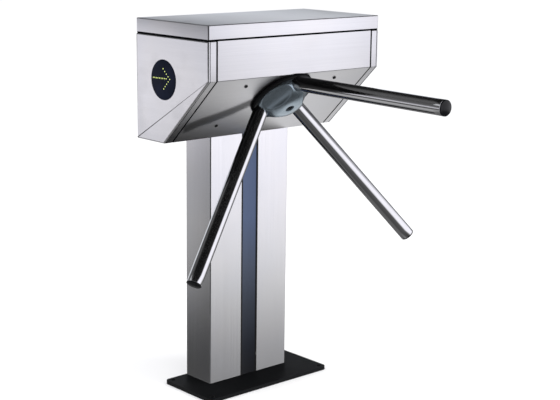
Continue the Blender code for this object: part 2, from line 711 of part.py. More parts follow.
# --------------------------------------------------------------------- hub and arms
CONE = math.radians(45.5)  # between the hub axis and each arm
APEX = 0.0490  # the arms' axes meet this far behind the slope
ARM_START, ARM_END = 0.071, 0.592  # from the apex to the arm's inner and outer end
ARM_R, ARM_WALL = 0.019, 0.0016
CAP_LENGTH = 0.0030
HUB_CLOCK = math.radians(1.4)  # the hub's clocking on its shaft
HUB_R, HUB_BACK = 0.0745, -0.014  # hub radius, and z of its back
DOME_Z, DOME_TOP, POLE_R = 0.004, 0.046, 0.018  # dome's foot and top, flat at its pole
POLE_BORE, POLE_FLOOR = 0.0110, 0.0370  # recess at the hub's pole
BOLT_HOLE, SHAFT_BORE_TOP = 0.0050, 0.0285
SKIRT_R, SKIRT_TOP = 0.0860, 0.0100  # moulded skirt pressed on the hub
SCOOP_R, SCOOP_DEPTH = 0.055, 0.0145  # the hollows between the arms
SCOOP_AT = (0.0595, 0.0370)  # reference point of a hollow (radius, z)
SCOOP_AWAY = (0.76, 0.65)  # its direction out of the dome (radial, z)


def build_hub(rotor):
    bore = SHAFT_R + GAP
    profile = [(bore, HUB_BACK), (HUB_R, HUB_BACK)]
    for i in range(9):
        angle = math.pi / 2 * i / 8
        radius = POLE_R + (HUB_R - POLE_R) * math.cos(angle)
        profile.append((radius, DOME_Z + (DOME_TOP - DOME_Z) * math.sin(angle)))
    profile += [
        (POLE_BORE, DOME_TOP), (POLE_BORE, POLE_FLOOR), (BOLT_HOLE, POLE_FLOOR),
        (BOLT_HOLE, SHAFT_BORE_TOP), (bore, SHAFT_BORE_TOP),
    ]
    hub = turned("hub_body", profile, 60, CAST, rotor)
    hub.data.transform(Matrix.Rotation(HUB_CLOCK, 4, "Z"))
    return hub


def build_skirt(rotor):
    inner, bottom = HUB_R + 0.0005, 0.0008
    profile = [
        (inner, bottom),
        (SKIRT_R, bottom),
        (SKIRT_R, SKIRT_TOP - 0.0040),
        (SKIRT_R - 0.0012, SKIRT_TOP - 0.0012),
        (SKIRT_R - 0.0040, SKIRT_TOP),
        (inner, SKIRT_TOP),
    ]
    return turned("hub_skirt", profile, 56, BLACK_PLASTIC, rotor)


def build_bolt(mechanism, rotor):
    bolt = rod("hub_bolt", 0.0080, (POLE_FLOOR + GAP, 0.0415), 20, STEEL, parent=rotor)
    join(bolt, rod("hub_bolt_shank", 0.0046, (0.0100, 0.0400), 14, parent=mechanism))
    cut(bolt, rod("hub_bolt_socket", 0.0046, (0.0390, 0.0450), 6, parent=mechanism))


def build_arm(number, azimuth, hub, skirt, mechanism, rotor):
    """One capped arm tube and its socket through the hub and the skirt."""
    around = (math.cos(azimuth), math.sin(azimuth))
    along = Vector((*[math.sin(CONE) * c for c in around], math.cos(CONE)))
    turn = along.to_track_quat("Z", "Y").to_matrix().to_4x4()
    lie = Matrix.Translation((0, 0, -APEX)) @ turn

    socket_span = (ARM_START - GAP, 0.16)
    socket = rod(
        f"socket_{number}", ARM_R + GAP, socket_span, 40, frame=lie, parent=mechanism
    )
    cut(hub, socket)
    cut(skirt, socket)

    rings = [circle(0, 0, ARM_R, 40), circle(0, 0, ARM_R - ARM_WALL, 40)]
    cap_start = ARM_END - CAP_LENGTH
    tube = plate(f"arm_{number}", rings, (ARM_START, cap_start - GAP), POLISHED, lie, rotor)
    smooth(tube, 40)

    place = {"frame": lie, "parent": rotor}
    cap_span = (cap_start, ARM_END)
    cap = rod(f"arm_cap_{number}", ARM_R, cap_span, 40, BLACK_PLASTIC, **place)
    plug_span = (ARM_END - 0.020, ARM_END - 0.0025)
    join(cap, rod(f"cap_plug_{number}", ARM_R - ARM_WALL - GAP, plug_span, 24, **place))


def cut_scoop(number, azimuth, hub, mechanism):
    """A cylindrical hollow in the dome between two arms."""
    cosine, sine = math.cos(azimuth), math.sin(azimuth)
    radius, height = SCOOP_AT
    radial, rise = SCOOP_AWAY
    spot = Vector((radius * cosine, radius * sine, height))
    away = Vector((radial * cosine, radial * sine, rise)).normalized()
    side = Vector((-sine, cosine, 0))
    centre = spot + away * (SCOOP_R - SCOOP_DEPTH)
    frame = axes_frame(side.cross(away), away, side, centre)
    span = (-0.060, 0.060)
    cut(hub, rod(f"scoop_{number}", SCOOP_R, span, 72, frame=frame, parent=mechanism))


# ------------------------------------------------------------------------ electronics
BOARD_PARTS = [  # (x0, z0, x1, z1, depth towards the front)
    (0.070, 0.725, 0.120, 0.737, 0.010),
    (0.130, 0.725, 0.180, 0.737, 0.010),
    (0.120, 0.770, 0.150, 0.800, 0.003),
    (0.180, 0.790, 0.215, 0.835, 0.016),
]
CABLE_TURN_Z = 0.690  # where the cable leaves the vertical
CABLE_RISE = [  # cable up the column (x, y, z)
    (0, CABLE_Y, 0.004), (0, CABLE_Y, 0.20), (0.003, CABLE_Y, 0.42),
    (0, CABLE_Y, 0.60), (0, CABLE_Y, CABLE_TURN_Z),
]
CABLE_REACH = (0.095, 0.030, 0.020)  # x, y and z covered beyond the turn


def build_electronics():
    board = box("control_board", (0.060, 0.0930, 0.720), (0.230, 0.0946, 0.850), BOARD)
    for i, (x0, z0, x1, z1, depth) in enumerate(BOARD_PARTS):
        join(board, box(f"board_part_{i}", (x0, 0.0935 - depth, z0), (x1, 0.0940, z1)))
    supply = box("power_supply", (-0.240, 0.048, 0.690), (-0.130, 0.096, 0.775), STEEL)
    cut(supply, box("supply_step", (-0.132, 0.040, 0.700), (-0.120, 0.070, 0.765)))


def build_cable():
    reach_x, reach_y, reach_z = CABLE_REACH
    points = list(CABLE_RISE)
    for i in range(1, 7):
        share = i / 6
        x = reach_x * share * share * (3 - 2 * share)
        z = CABLE_TURN_Z + reach_z * math.sin(math.pi * share / 2)
        points.append((x, CABLE_Y + reach_y * share, z))
    wire("supply_cable", 0.0040, points, BLACK_PLASTIC)


# --------------------------------------------------------------------------- assembly
def build_mechanism():
    mechanism = empty("mechanism_frame")
    mechanism.matrix_world = HUB_FRAME
    rotor = empty("rotor_axis", parent=mechanism)
    build_mech_plate(mechanism)
    build_bearings(mechanism)
    build_carrier(mechanism)
    build_shaft(mechanism, rotor)
    build_follower(mechanism)
    build_pawl("entry", -1, mechanism)
    build_pawl("exit", 1, mechanism)
    build_counter(mechanism)
    build_panel_screws(mechanism)

    hub = build_hub(rotor)
    skirt = build_skirt(rotor)
    build_bolt(mechanism, rotor)
    for k in range(3):
        azimuth = math.pi / 2 + HUB_CLOCK + 2 * math.pi * k / 3
        build_arm(k + 1, azimuth, hub, skirt, mechanism, rotor)
        cut_scoop(k + 1, azimuth + math.pi / 3, hub, mechanism)


build_base_plate()
build_column()
build_cabinet()
pivot("lid_axis", (0, *HINGE), build_lid(), build_hinge())
build_lock()
build_mechanism()
build_electronics()
build_cable()
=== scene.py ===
# A tripod turnstile: a steel cabinet on a column and a floor plate, with a three-armed hub.
# Metres. X runs along the cabinet (left is -X), the front faces -Y and Z is up. The lower
# front of the cabinet slopes, and the hub turns about an axis square to that slope.
import json
import math
import random

import bmesh
import bpy
from mathutils import Matrix, Vector


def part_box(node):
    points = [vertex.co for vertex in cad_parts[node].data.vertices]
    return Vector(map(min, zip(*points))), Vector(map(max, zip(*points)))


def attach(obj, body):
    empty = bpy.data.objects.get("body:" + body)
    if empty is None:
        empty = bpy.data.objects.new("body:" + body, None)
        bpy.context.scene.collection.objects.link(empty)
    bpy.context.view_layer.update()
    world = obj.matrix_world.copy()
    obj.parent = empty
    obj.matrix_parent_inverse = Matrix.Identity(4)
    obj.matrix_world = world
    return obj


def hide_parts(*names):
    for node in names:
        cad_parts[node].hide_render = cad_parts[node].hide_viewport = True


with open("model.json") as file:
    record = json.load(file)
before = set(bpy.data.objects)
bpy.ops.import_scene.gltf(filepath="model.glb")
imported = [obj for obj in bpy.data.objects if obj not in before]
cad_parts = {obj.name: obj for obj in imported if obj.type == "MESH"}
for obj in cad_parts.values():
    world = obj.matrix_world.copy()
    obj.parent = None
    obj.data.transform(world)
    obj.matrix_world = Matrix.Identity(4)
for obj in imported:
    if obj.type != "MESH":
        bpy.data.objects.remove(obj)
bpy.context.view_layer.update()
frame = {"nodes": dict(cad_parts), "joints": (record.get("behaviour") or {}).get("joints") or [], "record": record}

SCENE = bpy.context.scene.collection
SIDES = (("left", -1), ("right", 1))
random.seed(7)

# Hub frame: X along the cabinet, Y up the slope, Z out of the slope
hub_joint = next(joint for joint in frame["joints"] if joint["name"] == "hub_spin")
HUB_FOOT = Vector(hub_joint["pos_m"])
HUB_OUT = Vector(hub_joint["axis"]).normalized()
HUB_ALONG = Vector((1, 0, 0))
HUB_UP = HUB_OUT.cross(HUB_ALONG).normalized()
HUB = Matrix((*zip(HUB_ALONG, HUB_UP, HUB_OUT, HUB_FOOT), (0, 0, 0, 1)))
TILT = math.atan2(-HUB_OUT.z, -HUB_OUT.y)  # of the slope from upright


# ================================================================ node helpers
class Graph:
    """Short calls that add nodes to a tree and return their output sockets."""

    def __init__(self, tree):
        self.tree = tree

    def new(self, kind, **props):
        node = self.tree.nodes.new(kind)
        for key, value in props.items():
            setattr(node, key, value)
        return node

    def put(self, socket, value):
        """Links a socket, or sets a plain value; colours get an alpha of 1."""
        if isinstance(value, bpy.types.NodeSocket):
            self.tree.links.new(value, socket)
            return
        if isinstance(value, tuple) and len(value) == 3 and len(socket.default_value) == 4:
            value = (*value, 1.0)
        socket.default_value = value

    def feed(self, node, **inputs):
        """Puts several inputs, named with _ for each space."""
        for key, value in inputs.items():
            self.put(node.inputs[key.replace("_", " ")], value)

    def math(self, operation, *values, clamp=False):
        node = self.new("ShaderNodeMath", operation=operation, use_clamp=clamp)
        for socket, value in zip(node.inputs, values):
            self.put(socket, value)
        return node.outputs[0]

    def add(self, one, other):
        return self.math("ADD", one, other)

    def sub(self, one, other):
        return self.math("SUBTRACT", one, other)

    def mul(self, one, other):
        return self.math("MULTIPLY", one, other)

    def swing(self, value, amount):
        """A 0 to 1 value, centred on 0 and scaled by amount."""
        return self.mul(self.sub(value, 0.5), amount)

    def vec(self, operation, *values):
        node = self.new("ShaderNodeVectorMath", operation=operation)
        for socket, value in zip(node.inputs, values):
            self.put(socket, value)
        return node.outputs["Vector"]

    def scale(self, vector, factor):
        node = self.new("ShaderNodeVectorMath", operation="SCALE")
        self.put(node.inputs[0], vector)
        self.feed(node, Scale=factor)
        return node.outputs["Vector"]

    def noise(self, vector, scale=1.0, detail=2.0, rough=0.5):
        node = self.new("ShaderNodeTexNoise")
        self.feed(node, Vector=vector, Scale=scale, Detail=detail, Roughness=rough)
        return node.outputs[0]

    def stretch(self, vector, scale, shift=(0, 0, 0)):
        node = self.new("ShaderNodeMapping")
        self.feed(node, Vector=vector, Scale=scale, Location=shift)
        return node.outputs[0]

    def step(self, value, start, end, low=0.0, high=1.0, kind="SMOOTHSTEP"):
        """Goes from low to high as the value goes from start to end."""
        node = self.new("ShaderNodeMapRange", interpolation_type=kind)
        self.feed(node, Value=value, From_Min=start, From_Max=end, To_Min=low, To_Max=high)
        return node.outputs["Result"]

    def mix(self, factor, one, other, kind="RGBA"):
        node = self.new("ShaderNodeMix", data_type=kind)
        sockets, result = {"RGBA": ((0, 6, 7), 2), "FLOAT": ((0, 2, 3), 0)}[kind]
        for index, value in zip(sockets, (factor, one, other)):
            self.put(node.inputs[index], value)
        return node.outputs[result]

    def ramp(self, factor, stops):
        node = self.new("ShaderNodeValToRGB")
        items = node.color_ramp.elements
        while len(items) < len(stops):
            items.new(0.5)
        for item, (position, _) in zip(items, stops):
            item.position = position
        for item, (_, colour) in zip(items, stops):
            item.color = (*colour, 1.0)
        self.put(node.inputs[0], factor)
        return node.outputs[0]

    def blend(self, factor, first, second):
        """The ramp most finishes use: first colour up to 0.3, second from 0.7."""
        return self.ramp(factor, [(0.3, first), (0.7, second)])

    def split(self, vector):
        node = self.new("ShaderNodeSeparateXYZ")
        self.put(node.inputs[0], vector)
        return node.outputs

    def bump(self, height, strength, distance):
        node = self.new("ShaderNodeBump")
        self.feed(node, Strength=strength, Distance=distance, Height=height)
        return node.outputs[0]


def new_material(name, **inputs):
    """A material, its graph, its Principled shader and its object-coordinate socket."""
    material = bpy.data.materials.new(name)
    material.use_nodes = True
    tree = Graph(material.node_tree)
    shader = material.node_tree.nodes["Principled BSDF"]
    tree.feed(shader, **inputs)
    return material, tree, shader, tree.new("ShaderNodeTexCoord").outputs["Object"]


def times(colour, factor):
    return tuple(min(c * factor, 1) for c in colour)


# ================================================================ materials
STEEL_COOL = tuple(c * k for c, k in zip((0.735, 0.735, 0.755), (0.985, 0.99, 1.01)))
STEEL_WARM = tuple(c * k for c, k in zip((0.735, 0.735, 0.755), (1.01, 1.0, 0.99)))


def facing_ends(tree, normal):
    """1 on faces turned to the left or right."""
    return tree.step(tree.math("ABSOLUTE", normal[0]), start=0.6, end=0.8)


def painted_shade_to_the_ends(tree, place, normal):
    """Painted shade: long sheets get a little darker towards both ends of the cabinet."""
    centre_x, shade_strength = 0.02, 2.3
    offset_x = tree.sub(tree.split(place)[0], centre_x)
    # painted shade, stronger with the distance from the middle
    shaded_level = tree.sub(1.0, tree.mul(tree.mul(offset_x, offset_x), shade_strength))
    # painted light on flat tops: brighter in the middle, with painted shade that darkens them faster towards the
    # ends; end faces don't change
    top_centre_x, top_level, top_shade_strength = -0.01, 1.17, 6.0
    distance = tree.math("ABSOLUTE", tree.add(tree.split(place)[0], -top_centre_x))
    top = tree.sub(top_level, tree.mul(tree.math("POWER", distance, 2.0), top_shade_strength))
    upward = tree.step(normal[2], start=0.8, end=0.95)
    end = facing_ends(tree, normal)
    level = tree.add(tree.mul(shaded_level, tree.sub(1.0, upward)), tree.mul(top, upward))
    return tree.add(tree.mul(level, tree.sub(1.0, end)), end)


def painted_shade_under_cabinet(tree, place, normal):
    """Painted shade: the column's narrow sides are darker at the head, where the cabinet overhangs them."""
    head = tree.step(tree.split(place)[2], start=0.42, end=0.66)
    side = facing_ends(tree, normal)
    # strength of the painted shade
    shade_strength = 0.34
    return tree.sub(1.0, tree.mul(tree.mul(head, side), shade_strength))


def brushed(name, along, rough, aniso=0.25, fade=None):
    """Stainless sheet with three widths of straight grain along one axis.

    Grain along X turns to run along Y on the faces at the ends.
    """
    material, tree, shader, place = new_material(name, Metallic=1.0)
    normal = tree.split(place.node.outputs["Normal"])
    turns = along == "X"

    def grain(wide, long, detail, shift):
        scale = tuple(long if axis == along else wide for axis in "XYZ")
        main = tree.noise(tree.stretch(place, scale, shift), detail=detail, rough=0.55)
        if not turns:
            return main
        turned_place = tree.stretch(place, (wide, long, wide), shift)
        on_ends = tree.noise(turned_place, detail=detail, rough=0.55)
        return tree.mix(facing_ends(tree, normal), main, on_ends, kind="FLOAT")

    fine = grain(wide=1700.0, long=9.0, detail=2.0, shift=(0.3, 0.1, 0.7))
    medium = grain(wide=420.0, long=1.6, detail=3.0, shift=(1.3, 2.1, 0.2))
    coarse = grain(wide=60.0, long=0.5, detail=2.0, shift=(5.3, 4.1, 3.2))
    cloud = tree.noise(place, scale=5.0, detail=3.0)
    lift = tree.add(tree.swing(medium, amount=0.13), tree.swing(coarse, amount=0.06))
    lift = tree.add(lift, tree.swing(fine, amount=0.12))
    lift = tree.add(lift, tree.swing(cloud, amount=0.04))
    base = tree.scale(tree.blend(cloud, STEEL_COOL, STEEL_WARM), tree.add(1.0, lift))
    # painted shade and light by place, from the function given as fade
    if fade is not None:
        base = tree.scale(base, fade(tree, place, normal))
    # darker where other metal mirrors it
    mirror_dimming = 0.88
    mirrored = tree.new("ShaderNodeLightPath").outputs["Is Glossy Ray"]
    base = tree.scale(base, tree.sub(1.0, tree.mul(mirrored, mirror_dimming)))

    # duller smudges
    smudge_place = tree.stretch(place, (9, 9, 9), shift=(3, 1, 2))
    smudge = tree.step(tree.noise(smudge_place, detail=4.0, rough=0.6), start=0.5, end=0.72)
    smudge_rough = 0.03
    roughness = tree.add(rough, tree.swing(medium, amount=0.06))
    roughness = tree.add(roughness, tree.mul(smudge, smudge_rough))
    height = tree.add(tree.mul(fine, 0.5), tree.mul(medium, 0.5))

    surface = tree.new("ShaderNodeNewGeometry").outputs["True Normal"]
    direction = tuple(int(axis == along) for axis in "XYZ")
    tangent = tree.vec("CROSS_PRODUCT", surface, direction)
    if turns:
        tangent_end = tree.vec("CROSS_PRODUCT", surface, (0, 1, 0))
        tangent = tree.mix(facing_ends(tree, normal), tangent, tangent_end)
    tree.feed(
        shader,
        Base_Color=base,
        Roughness=roughness,
        Normal=tree.bump(height, strength=0.035, distance=0.0002),
        Anisotropic=aniso,
        Tangent=tangent,
    )
    return material


def polished(name):
    """Mirror-polished tube with a faint haze."""
    colour, rough, haze_rough = (0.66, 0.66, 0.68), 0.10, 0.05
    material, tree, shader, place = new_material(name, Metallic=1.0)
    haze = tree.noise(place, scale=22.0, detail=4.0, rough=0.6)
    fine = tree.noise(place, scale=420.0)
    dull = tree.mul(tree.step(haze, start=0.45, end=0.75), haze_rough)
    tree.feed(
        shader,
        Base_Color=tree.blend(haze, times(colour, 0.95), times(colour, 1.04)),
        Roughness=tree.add(rough, dull),
        Normal=tree.bump(fine, strength=0.02, distance=0.0001),
    )
    return material


def metal(name, colour, rough, grain, relief, spread, stain=None, metallic=1.0):
    """Cast, plated or turned metal with mottled tone and a fine relief."""
    material, tree, shader, place = new_material(name, Metallic=metallic)
    mottle = tree.noise(place, scale=grain * 0.22, detail=4.0, rough=0.6)
    pores = tree.noise(place, scale=grain * 6.0, detail=3.0, rough=0.6)
    tone = tree.blend(mottle, times(colour, 1 - spread), times(colour, 1 + spread))
    if stain:
        patches = tree.noise(place, scale=18.0, detail=5.0, rough=0.65)
        tone = tree.mix(tree.step(patches, start=0.52, end=0.70), tone, stain)
    tree.feed(
        shader,
        Base_Color=tone,
        Roughness=tree.add(rough, tree.swing(mottle, amount=0.25)),
        Normal=tree.bump(pores, relief, distance=0.0003),
    )
    return material


def plastic(name, colour, rough, grain, relief, specular=0.5, wear=0.0, worn=None):
    """Paint, moulded plastic or rubber with a fine texture; wear scratches show worn."""
    spread = 0.15
    material, tree, shader, place = new_material(name, Metallic=0.0)
    texture = tree.noise(place, scale=grain)
    cloud = tree.noise(place, scale=14.0, detail=4.0, rough=0.6)
    tone = tree.blend(cloud, times(colour, 1 - spread), times(colour, 1 + spread))
    if wear:
        lines = tree.noise(tree.stretch(place, (8, 260, 30)), detail=3.0, rough=0.7)
        scratches = tree.step(lines, start=0.64, end=0.72)
        tone = tree.mix(tree.mul(scratches, wear), tone, worn)
    tree.feed(
        shader,
        Base_Color=tone,
        Specular_IOR_Level=specular,
        Roughness=tree.add(rough, tree.swing(cloud, amount=0.18)),
        Normal=tree.bump(texture, relief, distance=0.0004),
    )
    return material


# Colour of the centre strip up its height, its own dark blue with painted shade that takes it to nearly black at
# the foot: (share of the height, colour)
INLAY_HEIGHT = 0.68
INLAY_STOPS = [
    (0.0, (0.0015, 0.002, 0.004)),
    (0.13, (0.006, 0.009, 0.017)),
    (0.30, (0.030, 0.038, 0.056)),
    (0.46, (0.062, 0.078, 0.118)),
    (0.66, (0.080, 0.112, 0.200)),
    (1.0, (0.085, 0.120, 0.220)),
]


def inlay(name):
    """Semi-gloss strip, blue above, with painted shade that takes it nearly black at the foot; brushed upwards."""
    material, tree, shader, place = new_material(name, Metallic=0.55)
    # painted shade: the strip's colour darkens towards the foot
    share = tree.step(tree.split(place)[2], start=0.0, end=INLAY_HEIGHT, kind="LINEAR")
    tone = tree.ramp(share, INLAY_STOPS)
    lines = tree.noise(tree.stretch(place, (700, 700, 4)))
    line_base, line_swing = 0.90, 0.20
    level = tree.add(line_base, tree.mul(lines, line_swing))
    # dark borders along both edges
    distance = tree.math("ABSOLUTE", tree.split(place)[0])
    border = tree.step(distance, start=0.0222, end=0.0226)
    border_dark = 0.97
    level = tree.mul(level, tree.sub(1.0, tree.mul(border, border_dark)))
    rough, line_rough = 0.30, 0.10
    tree.feed(
        shader,
        Base_Color=tree.scale(tone, level),
        Roughness=tree.add(rough, tree.mul(lines, line_rough)),
        Normal=tree.bump(lines, strength=0.05, distance=0.0003),
    )
    return material


def smoked_lens(name):
    """Nearly black glossy window."""
    material, tree, shader, place = new_material(name, Metallic=0.0, Roughness=0.07)
    cloud = tree.noise(place, scale=30.0, detail=3.0)
    ripple = tree.noise(place, scale=500.0, detail=1.0)
    rough, cloud_rough = 0.10, 0.10
    tree.feed(
        shader,
        Base_Color=tree.blend(cloud, (0.003, 0.0045, 0.009), (0.006, 0.008, 0.018)),
        Roughness=tree.add(rough, tree.mul(cloud, cloud_rough)),
        Specular_IOR_Level=0.025,
        Normal=tree.bump(ripple, strength=0.02, distance=0.0002),
    )
    return material


def lit_led(name):
    """Small pale green-yellow lights, a little brighter in the middle."""
    material, tree, shader, place = new_material(name, Roughness=0.3)
    facing = tree.new("ShaderNodeLayerWeight")
    tree.feed(facing, Blend=0.35)
    middle, edge, patch = (0.62, 0.70, 0.22), (0.30, 0.36, 0.08), (0.52, 0.60, 0.18)
    glow = tree.ramp(facing.outputs["Facing"], [(0.0, middle), (1.0, edge)])
    patches = tree.step(tree.noise(place, scale=90.0, detail=1.0), start=0.4, end=0.6)
    glow = tree.mix(patches, glow, patch)
    tree.feed(shader, Base_Color=glow, Emission_Color=glow, Emission_Strength=0.55)
    return material


def circuit(name):
    """Solder mask with paler tracks and small gold pads."""
    material, tree, shader, place = new_material(name, Roughness=0.4)
    cells = tree.new("ShaderNodeTexBrick", offset=0.5)
    tree.feed(
        cells,
        Vector=tree.stretch(place, (90, 90, 90), shift=(0.2, 0.4, 0.1)),
        Mortar_Size=0.05,
        Color1=(0.010, 0.085, 0.035),
        Color2=(0.012, 0.100, 0.042),
        Mortar=(0.03, 0.17, 0.075),
    )
    pads = tree.new("ShaderNodeTexVoronoi")
    tree.feed(pads, Vector=place, Scale=190.0)
    spot = tree.step(pads.outputs["Distance"], start=0.16, end=0.20, low=1.0, high=0.0)
    gold, pad_metallic = (0.55, 0.42, 0.16), 0.8
    tree.feed(
        shader,
        Base_Color=tree.mix(spot, cells.outputs["Color"], gold),
        Metallic=tree.mul(spot, pad_metallic),
        Normal=tree.bump(cells.outputs["Fac"], strength=0.2, distance=0.0002),
    )
    return material


# the long sheets get painted shade towards the ends and painted light on the tops; the column's sides get painted
# shade under the cabinet
STEEL_X = brushed("brushed_steel_long", "X", rough=0.30, fade=painted_shade_to_the_ends)
STEEL_Z = brushed("brushed_steel_upright", "Z", rough=0.21, aniso=0.80, fade=painted_shade_under_cabinet)
STEEL_END = brushed("brushed_steel_end", "Y", rough=0.22)
CHROME = polished("polished_tube")
CASTING = metal("satin_casting", colour=(0.345, 0.415, 0.475), rough=0.22, grain=140.0,
                relief=0.04, spread=0.05, metallic=0.93)
ZINC = metal("zinc_plate", colour=(0.52, 0.54, 0.56), rough=0.36, grain=200.0,
             relief=0.12, spread=0.14, stain=(0.46, 0.45, 0.40))
GROUND = metal("ground_steel", colour=(0.62, 0.62, 0.64), rough=0.16, grain=260.0,
               relief=0.03, spread=0.05)
BRASS = metal("machined_brass", colour=(0.74, 0.55, 0.24), rough=0.24, grain=220.0,
              relief=0.05, spread=0.08)
COAT = plastic("powder_coat", colour=(0.0062, 0.0066, 0.0074), rough=0.55, grain=1300.0,
               relief=0.20, specular=0.16, wear=0.25, worn=(0.03, 0.03, 0.032))
MOULDED = plastic("moulded_black", colour=(0.004, 0.0042, 0.005), rough=0.38, grain=1500.0,
                  relief=0.05, specular=0.14)
CAP = plastic("cap_black", colour=(0.003, 0.0034, 0.0045), rough=0.13, grain=900.0,
              relief=0.02, specular=0.22)
RUBBER = plastic("seal_rubber", colour=(0.0018, 0.0020, 0.0028), rough=0.9, grain=700.0,
                 relief=0.10, specular=0.02)
SCREW = plastic("black_oxide", colour=(0.010, 0.010, 0.011), rough=0.38, grain=1800.0,
                relief=0.05)
COIL = plastic("coil_moulding", colour=(0.030, 0.030, 0.036), rough=0.45, grain=500.0,
               relief=0.10)
CABLE = plastic("cable_jacket", colour=(0.012, 0.012, 0.013), rough=0.5, grain=400.0,
                relief=0.10)
INLAY = inlay("blue_inlay")
LENS = smoked_lens("smoked_lens")
LED = lit_led("lit_led")
BOARD = circuit("circuit_board_green")


# ================================================================ object helpers
def new_object(name, mesh):
    mesh.name = name
    made = bpy.data.objects.new(name, mesh)
    SCENE.objects.link(made)
    return made


def smooth(obj, sharp=35.0):
    """Smooth shading, with edges above the sharp angle (degrees) left hard."""
    obj.data.shade_smooth()
    obj.data.set_sharp_from_angle(angle=math.radians(sharp))


def add(name, mesh, finish, body, slot, *replaced, sharp=35.0):
    """A finished part that rides on a body and stands in for CAD nodes."""
    made = new_object(name, mesh)
    mesh.materials.clear()
    mesh.materials.append(finish)
    smooth(made, sharp)
    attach(made, body)
    if replaced:
        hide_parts(*replaced)
    return made


def bevel(obj, width, segments=2, angle=50.0):
    made = obj.modifiers.new("edge", "BEVEL")
    made.width = width
    made.segments = segments
    made.limit_method = "ANGLE"
    made.angle_limit = math.radians(angle)
    made.harden_normals = True
    made.use_clamp_overlap = True


def cut(obj, mesh):
    """Cuts a mesh out of an object and applies it."""
    tool = new_object("cutter", mesh)
    made = obj.modifiers.new("cut", "BOOLEAN")
    made.operation = "DIFFERENCE"
    made.solver = "EXACT"
    made.object = tool
    bpy.context.view_layer.update()
    graph = bpy.context.evaluated_depsgraph_get()
    done = bpy.data.meshes.new_from_object(obj.evaluated_get(graph))
    obj.modifiers.remove(made)
    old = obj.data
    obj.data = done
    bpy.data.meshes.remove(old)
    bpy.data.objects.remove(tool, do_unlink=True)


# ================================================================ mesh helpers
def mesh_of(bm):
    bmesh.ops.remove_doubles(bm, verts=bm.verts, dist=1e-6)
    bmesh.ops.recalc_face_normals(bm, faces=bm.faces)
    mesh = bpy.data.meshes.new("shape")
    bm.to_mesh(mesh)
    bm.free()
    return mesh


def along_x(sign=1, origin=(0, 0, 0)):
    """A frame whose local x, y are the world Y, Z, with local z along the world X times sign."""
    x, y, z = origin
    return Matrix(((0, 0, sign, x), (1, 0, 0, y), (0, 1, 0, z), (0, 0, 0, 1)))


def plate(outlines, start, end, place=Matrix.Identity(4)):
    """A flat outline with holes, solid from start to end along local z."""
    curve = bpy.data.curves.new("outline", "CURVE")
    curve.dimensions = "2D"
    curve.fill_mode = "BOTH"
    curve.extrude = (end - start) / 2
    for outline in outlines:
        spline = curve.splines.new("POLY")
        spline.points.add(len(outline) - 1)
        for point, (x, y) in zip(spline.points, outline):
            point.co = (x, y, 0, 1)
        spline.use_cyclic_u = True
    helper = bpy.data.objects.new("outline", curve)
    SCENE.objects.link(helper)
    bpy.context.view_layer.update()
    graph = bpy.context.evaluated_depsgraph_get()
    solid = bpy.data.meshes.new_from_object(helper.evaluated_get(graph))
    bpy.data.objects.remove(helper, do_unlink=True)
    bm = bmesh.new()
    bm.from_mesh(solid)
    bpy.data.meshes.remove(solid)
    bmesh.ops.remove_doubles(bm, verts=bm.verts, dist=1e-6)
    flat = math.radians(0.4)
    bmesh.ops.dissolve_limit(bm, angle_limit=flat, verts=bm.verts, edges=bm.edges)
    bm.transform(place @ Matrix.Translation((0, 0, (start + end) / 2)))
    return mesh_of(bm)


def turned(radius, height, angle):
    return Vector((radius * math.cos(angle), radius * math.sin(angle), height))


def lathe(profile, count, place, shape=turned):
    """A mesh turned from (radius, height) points.

    Radius 0 makes a single vertex. A profile that starts off the axis is a closed loop.
    """
    bm = bmesh.new()
    rings = []
    for radius, height in profile:
        if radius < 1e-7:
            rings.append([bm.verts.new((0, 0, height))])
        else:
            angles = [2 * math.pi * i / count for i in range(count)]
            rings.append([bm.verts.new(shape(radius, height, angle)) for angle in angles])
    pairs = list(zip(rings, rings[1:]))
    if profile[0][0] > 0:
        pairs.append((rings[-1], rings[0]))
    for one, other in pairs:
        for i in range(count):
            j = (i + 1) % count
            if len(one) == 1:
                bm.faces.new((one[0], other[j], other[i]))
            elif len(other) == 1:
                bm.faces.new((one[i], one[j], other[0]))
            else:
                bm.faces.new((one[i], one[j], other[j], other[i]))
    bm.transform(place)
    return mesh_of(bm)


def rod(radius, start, end, count, place):
    """A plain cylinder, for cutting holes."""
    return lathe([(0, start), (radius, start), (radius, end), (0, end)], count, place)


def quarter(radius, base, across, rise, steps, first=1):
    """Profile points that round inwards by across and upwards by rise."""
    angles = [math.pi / 2 * k / steps for k in range(first, steps + 1)]
    return [(radius - across + across * math.cos(a), base + rise * math.sin(a)) for a in angles]


def crown(radius, base, rise, steps):
    """Profile points of a shallow crown, from inside its edge to the axis."""
    shares = [1 - k / steps for k in range(1, steps + 1)]
    return [(radius * share, base + rise * (1 - share**2)) for share in shares]


def rounded(points, radius, count, closed=True):
    """The outline with each corner rounded in count steps; an open path keeps its ends."""
    result = []
    last = len(points) - 1
    for i, point in enumerate(points):
        if not closed and i in (0, last):
            result.append(tuple(point))
            continue
        here = Vector(point)
        before = (Vector(points[i - 1]) - here).normalized()
        after = (Vector(points[(i + 1) % len(points)]) - here).normalized()
        half = math.acos(max(-1, min(1, before.dot(after)))) / 2
        back = radius / math.tan(half)
        centre = here + (before + after).normalized() * (radius / math.sin(half))
        start = here + before * back - centre
        stop = here + after * back - centre
        turn = start.angle_signed(stop)
        for k in range(count + 1):
            result.append(tuple(centre + Matrix.Rotation(-turn * (k / count), 2) @ start))
    return result


